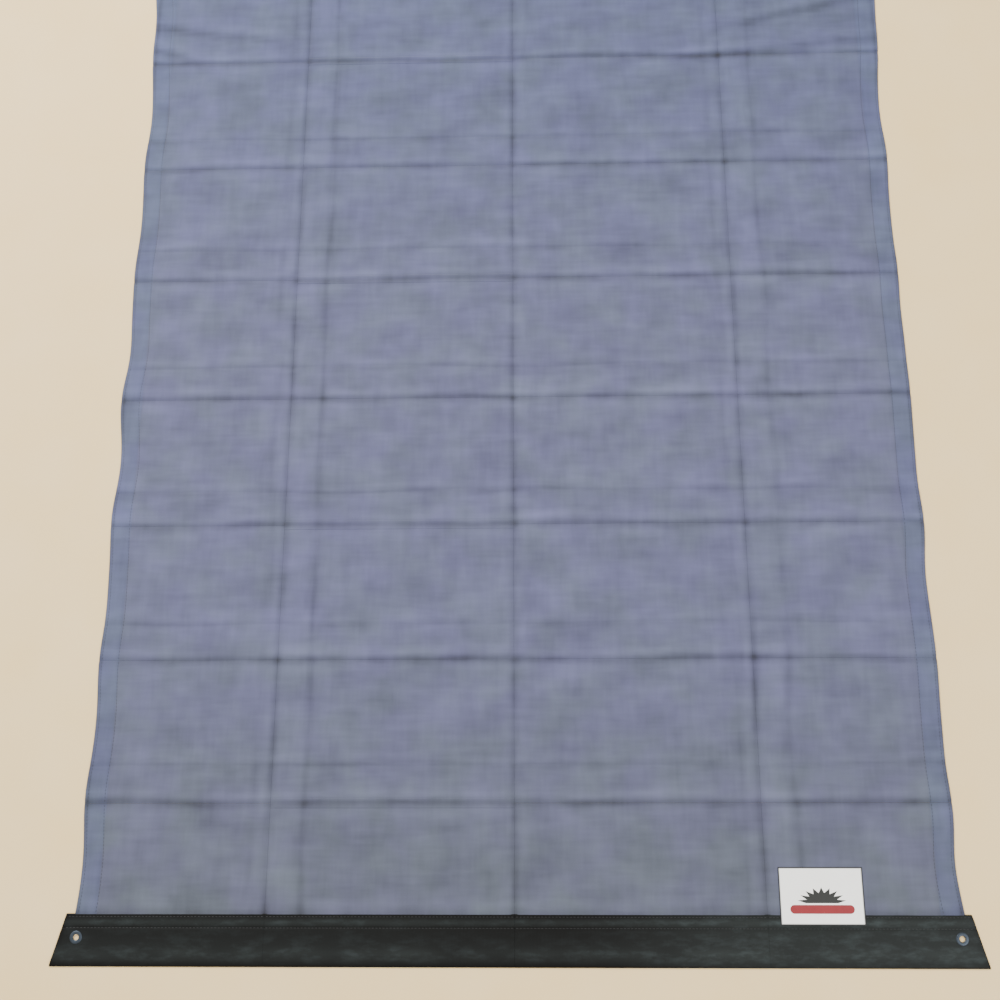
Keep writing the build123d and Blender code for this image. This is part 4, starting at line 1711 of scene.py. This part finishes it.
@dataclass
class JunctionBox:
    """The junction box at the far end: cloth tab, tray, lid, screws and output socket.

    Attributes:
        finishes: The materials.
        wall: The tray's wall.
        corner: The radius of its upright corners.
        seat: The radius of the seats for the screws' heads.
        head: The radius of the heads.
        barrel: The radius of the socket.
        tab_corner: The radius of the cloth tab's far corners.
        rib_pitch: From one grip rib to the next.
        rib_radius: The radius of a rib.
        body: The body that it rides on.
    """

    finishes: Finishes
    wall: float = 1.6 * MM
    corner: float = 4.0 * MM
    seat: float = 2.3 * MM
    head: float = 2.2 * MM
    barrel: float = 4.5 * MM
    tab_corner: float = 6 * MM
    rib_pitch: float = 2.6 * MM
    rib_radius: float = 0.55 * MM
    body: str = "leaf_8b"

    def build(self) -> None:
        """Builds every visible piece of the box, and dresses the nodes inside it."""
        self.build_tab()
        self.build_tray()
        self.build_lid()
        self.build_screws()
        self.build_socket()
        inside = {"box_seal": self.finishes.rubber, "lead_tails": self.finishes.copper,
                  "terminal_board": self.finishes.board, "diodes": self.finishes.epoxy,
                  "terminals": self.finishes.brass}
        for node, material in inside.items():
            data = frame["nodes"][node].data
            data.materials.clear()
            data.materials.append(material)
            LOG.info("dressed %s", node)

    def place(self, piece: bpy.types.Object, node: str, slot: str) -> None:
        """Puts a piece on the box's body, in place of its node.

        Args:
            piece: The piece.
            node: The node that it stands for.
            slot: The record's material slot; not used.
        """
        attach(piece, self.body)
        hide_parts(node)
        LOG.info("box piece %s", piece.name)

    def build_tab(self) -> None:
        """Makes the cloth tab, with rounded far corners."""
        low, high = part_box("box_tab")
        width, middle, corner = high.x - low.x, (low.x + high.x) / 2, self.tab_corner
        along = grid_lines(low.y, high.y, (low.y, high.y), 4 * MM)
        share, y = np.meshgrid(np.linspace(-1, 1, 25), along, indexing="ij")
        past = np.clip((y - (high.y - corner)) / corner, 0, 1)
        half = width / 2 - corner * (1 - np.sqrt(1 - past ** 2))
        x = middle + share * half
        edge = np.minimum(half - np.abs(x - middle), high.y - y)
        top = 0.34 * MM + 0.14 * MM * ease(edge, 0, 1.2 * MM)
        piece = Shell(x, y, top, np.full(x.shape, 0.03 * MM)).build("box_tab_cloth", [self.finishes.band])
        set_attribute(piece, "tone", np.zeros(len(piece.data.vertices)))
        self.place(piece, "box_tab", "band_webbing")
        inset, height = 2.5 * MM, 0.48 * MM
        sides = [np.array([(x_at, low.y + 2 * MM, height), (x_at, high.y - corner, height)])
                 for x_at in (low.x + inset, high.x - inset)]
        seam = Stitches(self.finishes).sew("seam_box_tab", sides, self.body, "band_webbing")

    def build_tray(self) -> None:
        """Makes the tray as a shell, open at the top, with a drafted foot."""
        low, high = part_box("box_base")
        floor = low.z + self.wall
        steps = [(0.9, low.z), (0.35, low.z + 0.15 * MM), (0.1, low.z + 0.6 * MM), (0.0, low.z + 1.4 * MM),
                 (0.0, high.z - 2.6 * MM), (0.35, high.z - 2.4 * MM), (0.35, high.z - 1.9 * MM),
                 (0.0, high.z - 1.7 * MM), (0.0, high.z - 0.1 * MM), (0.1, high.z),
                 (1.5, high.z), (1.6, high.z - 0.1 * MM), (1.6, floor + 0.4 * MM), (2.0, floor)]
        rings = [rounded_ring(low, high, inset * MM, self.corner, z) for inset, z in steps]
        piece = loft("junction_box_tray", rings, [self.finishes.case])
        self.place(piece, "box_base", "box_plastic")
        self.build_ribs(low, high)

    def build_ribs(self, low: Vector, high: Vector) -> None:
        """Makes the upright grip ribs on the tray's two long sides, by geometry nodes.

        Args:
            low: The tray's low corner.
            high: Its high corner.
        """
        tree, inputs = start_tree("grip_ribs", {
            "Lines": "Geometry", "Spacing": "Float", "Radius": "Float", "Height": "Float"}, "Ribs")
        rib = add_node(tree, "GeometryNodeMeshCylinder", {
            "Vertices": 12, "Radius": inputs["Radius"], "Depth": inputs["Height"]})
        placed = add_node(tree, "GeometryNodeInstanceOnPoints", {
            "Points": steps_along(tree, inputs["Lines"], inputs["Spacing"]), "Instance": rib.outputs["Mesh"]})
        end_tree(tree, placed, self.finishes.case)
        out, clear = 0.05 * MM, 12 * MM
        middle = (low.z + high.z) / 2 - 0.6 * MM
        ends = [(x, y, middle) for x in (low.x - out, high.x + out) for y in (low.y + clear, high.y - clear)]
        piece = run_tree("junction_box_ribs", ends, [(0, 1), (2, 3)], tree, {
            "Spacing": self.rib_pitch, "Radius": self.rib_radius, "Height": high.z - low.z - 6 * MM})
        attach(piece, self.body)

    def build_lid(self) -> None:
        """Makes the lid, with a raised middle field and seats for the screw heads."""
        low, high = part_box("box_lid")
        steps = [(0.6, low.z), (0.1, low.z + 0.1 * MM), (0.0, low.z + 0.3 * MM), (0.0, high.z - 0.9 * MM),
                 (0.25, high.z - 0.45 * MM), (0.8, high.z - 0.25 * MM), (7.6, high.z - 0.25 * MM),
                 (8.0, high.z - 0.6 * MM), (8.8, high.z - 0.6 * MM), (9.2, high.z - 0.05 * MM), (9.8, high.z)]
        field_corner = self.corner + 6 * MM
        rings = [rounded_ring(low, high, inset * MM, field_corner if inset > 5 else self.corner, z)
                 for inset, z in steps]
        piece = loft("junction_box_lid", rings, [self.finishes.case])
        seat = (high.z - 1.3 * MM, high.z + 1 * MM)
        cut(piece, [plug("seat", self.seat, seat, x, y) for x, y in self.screw_places()])
        self.place(piece, "box_lid", "box_plastic")

    def screw_places(self) -> list:
        """Returns the x and y of the four screws."""
        low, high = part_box("lid_screws")
        return [(x, y) for x in (low.x + self.head, high.x - self.head)
                for y in (low.y + self.head, high.y - self.head)]

    def build_screws(self) -> None:
        """Makes the four screws, with domed heads and crossed slots, as one piece."""
        low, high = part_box("lid_screws")
        seat, shank = high.z - 1.15 * MM, 1.2 * MM
        profile = [(0, low.z), (0.9 * MM, low.z + 0.2 * MM), (shank, low.z + 0.8 * MM), (shank, seat),
                   (2.1 * MM, seat), (self.head, seat + 0.15 * MM), (2.15 * MM, seat + 0.5 * MM),
                   (1.7 * MM, high.z - 0.22 * MM), (1.0 * MM, high.z - 0.04 * MM), (0, high.z)]
        screws = []
        for number, (x, y) in enumerate(self.screw_places()):
            screw = lathe(f"lid_screw_{number}", profile, x, y, [self.finishes.steel], segments=32)
            turn = 0.4 + 0.7 * number
            cut(screw, [self.slot_cutter(x, y, high.z, way) for way in (turn, turn + math.pi / 2)])
            screws.append(screw)
        with bpy.context.temp_override(active_object=screws[0], selected_editable_objects=screws):
            bpy.ops.object.join()
        screws[0].name = "lid_screw_set"
        self.place(screws[0], "lid_screws", "screw_steel")

    def slot_cutter(self, x: float, y: float, top: float, turn: float) -> bpy.types.Object:
        """Makes the cutter for one arm of a crossed slot.

        Args:
            x: The screw's x.
            y: Its y.
            top: The head's highest point.
            turn: The slot's direction, in radians.

        Returns:
            A thin upright block.
        """
        half_length, half_width, depth = 1.35, 0.22, 0.6
        along = np.array([math.cos(turn), math.sin(turn)]) * half_length * MM
        across = np.array([-math.sin(turn), math.cos(turn)]) * half_width * MM
        base = [along + across, -along + across, -along - across, along - across]
        points = [(x + p[0], y + p[1], z) for z in (top - depth * MM, top + 1 * MM) for p in base]
        faces = [[3, 2, 1, 0], [4, 5, 6, 7], *[[i, (i + 1) % 4, (i + 1) % 4 + 4, i + 4] for i in range(4)]]
        return make_piece("slot", np.array(points), faces, [], smooth=False)

    def build_socket(self) -> None:
        """Makes the output socket, a barrel with a grip collar and two contact holes."""
        low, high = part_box("output_socket")
        centre = (low + high) / 2
        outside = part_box("box_base")[1].y
        tip = high.y
        barrel, flange = self.barrel, (high.x - low.x) / 2
        profile = [(0, low.y), (flange - 0.3 * MM, low.y), (flange, low.y + 0.3 * MM),
                   (flange, low.y + 1.4 * MM), (barrel, low.y + 1.5 * MM), (barrel, outside),
                   (flange, outside + 0.1 * MM), (flange, outside + 1.6 * MM), (barrel, outside + 1.9 * MM)]
        grips, groove = 4, 0.45 * MM
        for i in range(grips):
            start = outside + (3.0 + 1.1 * i) * MM
            profile += [(barrel - groove, start - 0.3 * MM), (barrel, start), (barrel, start + 0.4 * MM)]
        profile += [(barrel - 0.2 * MM, tip - 0.9 * MM), (barrel - 0.2 * MM, tip - 0.2 * MM),
                    (barrel - 0.4 * MM, tip), (0, tip)]
        depth = (tip - 7 * MM, tip + 1 * MM)
        contacts = [self.lay_along_y(plug("contact", 1.6 * MM, depth, x, 0), centre)
                    for x in (-2.2 * MM, 2.2 * MM)]
        piece = self.lay_along_y(lathe("output_socket_barrel", profile, 0, 0, [self.finishes.case]), centre)
        cut(piece, contacts)
        self.place(piece, "output_socket", "socket_plastic")

    def lay_along_y(self, piece: bpy.types.Object, centre: Vector) -> bpy.types.Object:
        """Turns an upright lathed piece to run along y, in its mesh.

        Args:
            piece: The piece, turned about z at the origin, with y as its heights.
            centre: The axis's x and z.

        Returns:
            The same piece.
        """
        points = points_of(piece)
        moved = np.stack([centre.x - points[:, 0], points[:, 2], centre.z + points[:, 1]], axis=-1)
        piece.data.vertices.foreach_set("co", moved.astype(np.float32).ravel())
        piece.data.update()
        return piece


# --------------------------------------------------------------------------- the studio


@dataclass
class Studio:
    """The floor, the lights and the camera.

    Attributes:
        layout: Where the blanket's ends are.
        lens: The camera's focal length, in millimetres.
        tilt: How far it tips up from looking straight down, in degrees.
        turn: How far it is turned about the upright, in degrees.
        roll: How far it is rolled about its own axis, in degrees.
        eye: Its place: x, distance beyond the sheet's near end, and height.
        floor_reach: How far the floor reaches to each side.
        floor_height: The floor's z, just under the blanket.
        lamps: Each lamp's name, place, diameter in metres and power in watts.
        surround: The colour of the even light from all round.
        surround_strength: How strong that is.
    """

    layout: Layout
    lens: float = 44.65
    tilt: float = 16.63
    turn: float = 5.68
    roll: float = -5.89
    eye: tuple[float, float, float] = (0.0283, 0.1003, 1.5598)
    floor_reach: float = 12.0
    floor_height: float = -0.4 * MM
    lamps: tuple = (("key", (-1.9, 1.9, 2.3), 1.8, 165.0), ("fill", (2.0, -1.6, 2.6), 2.6, 68.0))
    surround: str = "#f8f4ec"
    surround_strength: float = 1.4

    def build(self) -> None:
        """Builds the whole studio."""
        self.build_camera()
        self.build_floor()
        self.build_lights()

    def build_camera(self) -> None:
        """Places the camera."""
        data = bpy.data.cameras.new("camera")
        data.lens = self.lens
        data.sensor_width = 36.0
        data.clip_start = 0.05
        camera = add_object("camera", data)
        x, beyond, height = self.eye
        camera.location = (x, self.layout.rows[0] + beyond, height)
        turned = Matrix.Identity(3)
        for angle, axis in ((self.turn, "Z"), (self.tilt, "X"), (self.roll, "Z")):
            turned = turned @ Matrix.Rotation(math.radians(angle), 3, axis)
        camera.rotation_euler = turned.to_euler()
        bpy.context.scene.camera = camera

    def build_floor(self) -> None:
        """Makes the plain pale floor."""
        material = Hard("pale painted floor", "#e6c78c", "#ead0a0", 6 * MM, 0.75, relief=0.01 * MM).build()
        corners = [(x * self.floor_reach, y * self.floor_reach, self.floor_height)
                   for x, y in ((-1, -1), (1, -1), (1, 1), (-1, 1))]
        make_piece("floor", np.array(corners), [[0, 1, 2, 3]], [material], smooth=False)

    def build_lights(self) -> None:
        """Makes a broad soft key light, a fill and an even surround."""
        for name, place, size, power in self.lamps:
            data = bpy.data.lights.new(name, "AREA")
            data.shape, data.size, data.energy = "DISK", size, power
            lamp = add_object(name, data)
            lamp.location = place
            lamp.rotation_euler = (-Vector(place)).to_track_quat("-Z", "Y").to_euler()
        world = bpy.data.worlds.new("surround")
        world.use_nodes = True
        background = world.node_tree.nodes["Background"]
        background.inputs["Color"].default_value = rgb(self.surround)
        background.inputs["Strength"].default_value = self.surround_strength
        bpy.context.scene.world = world


def main() -> None:
    """Builds the blanket in order."""
    logging.basicConfig(level=logging.INFO)
    layout = Layout.from_frame()
    Studio(layout).build()
    finishes = Finishes((layout.rows[0], layout.rows[-1]))
    relief = Relief(layout)
    Sheet(layout, relief, finishes).build()
    bands = [EndBand(end, layout, finishes) for end in End]
    for band in bands:
        band.build()
        for column in (Column.LEFT, Column.RIGHT):
            Eyelet(band.end, column, finishes).build()
    Label(layout, finishes).build()
    Sewing(layout, relief, bands, Stitches(finishes)).build()
    JunctionBox(finishes).build()


if __name__ == "__main__":
    main()
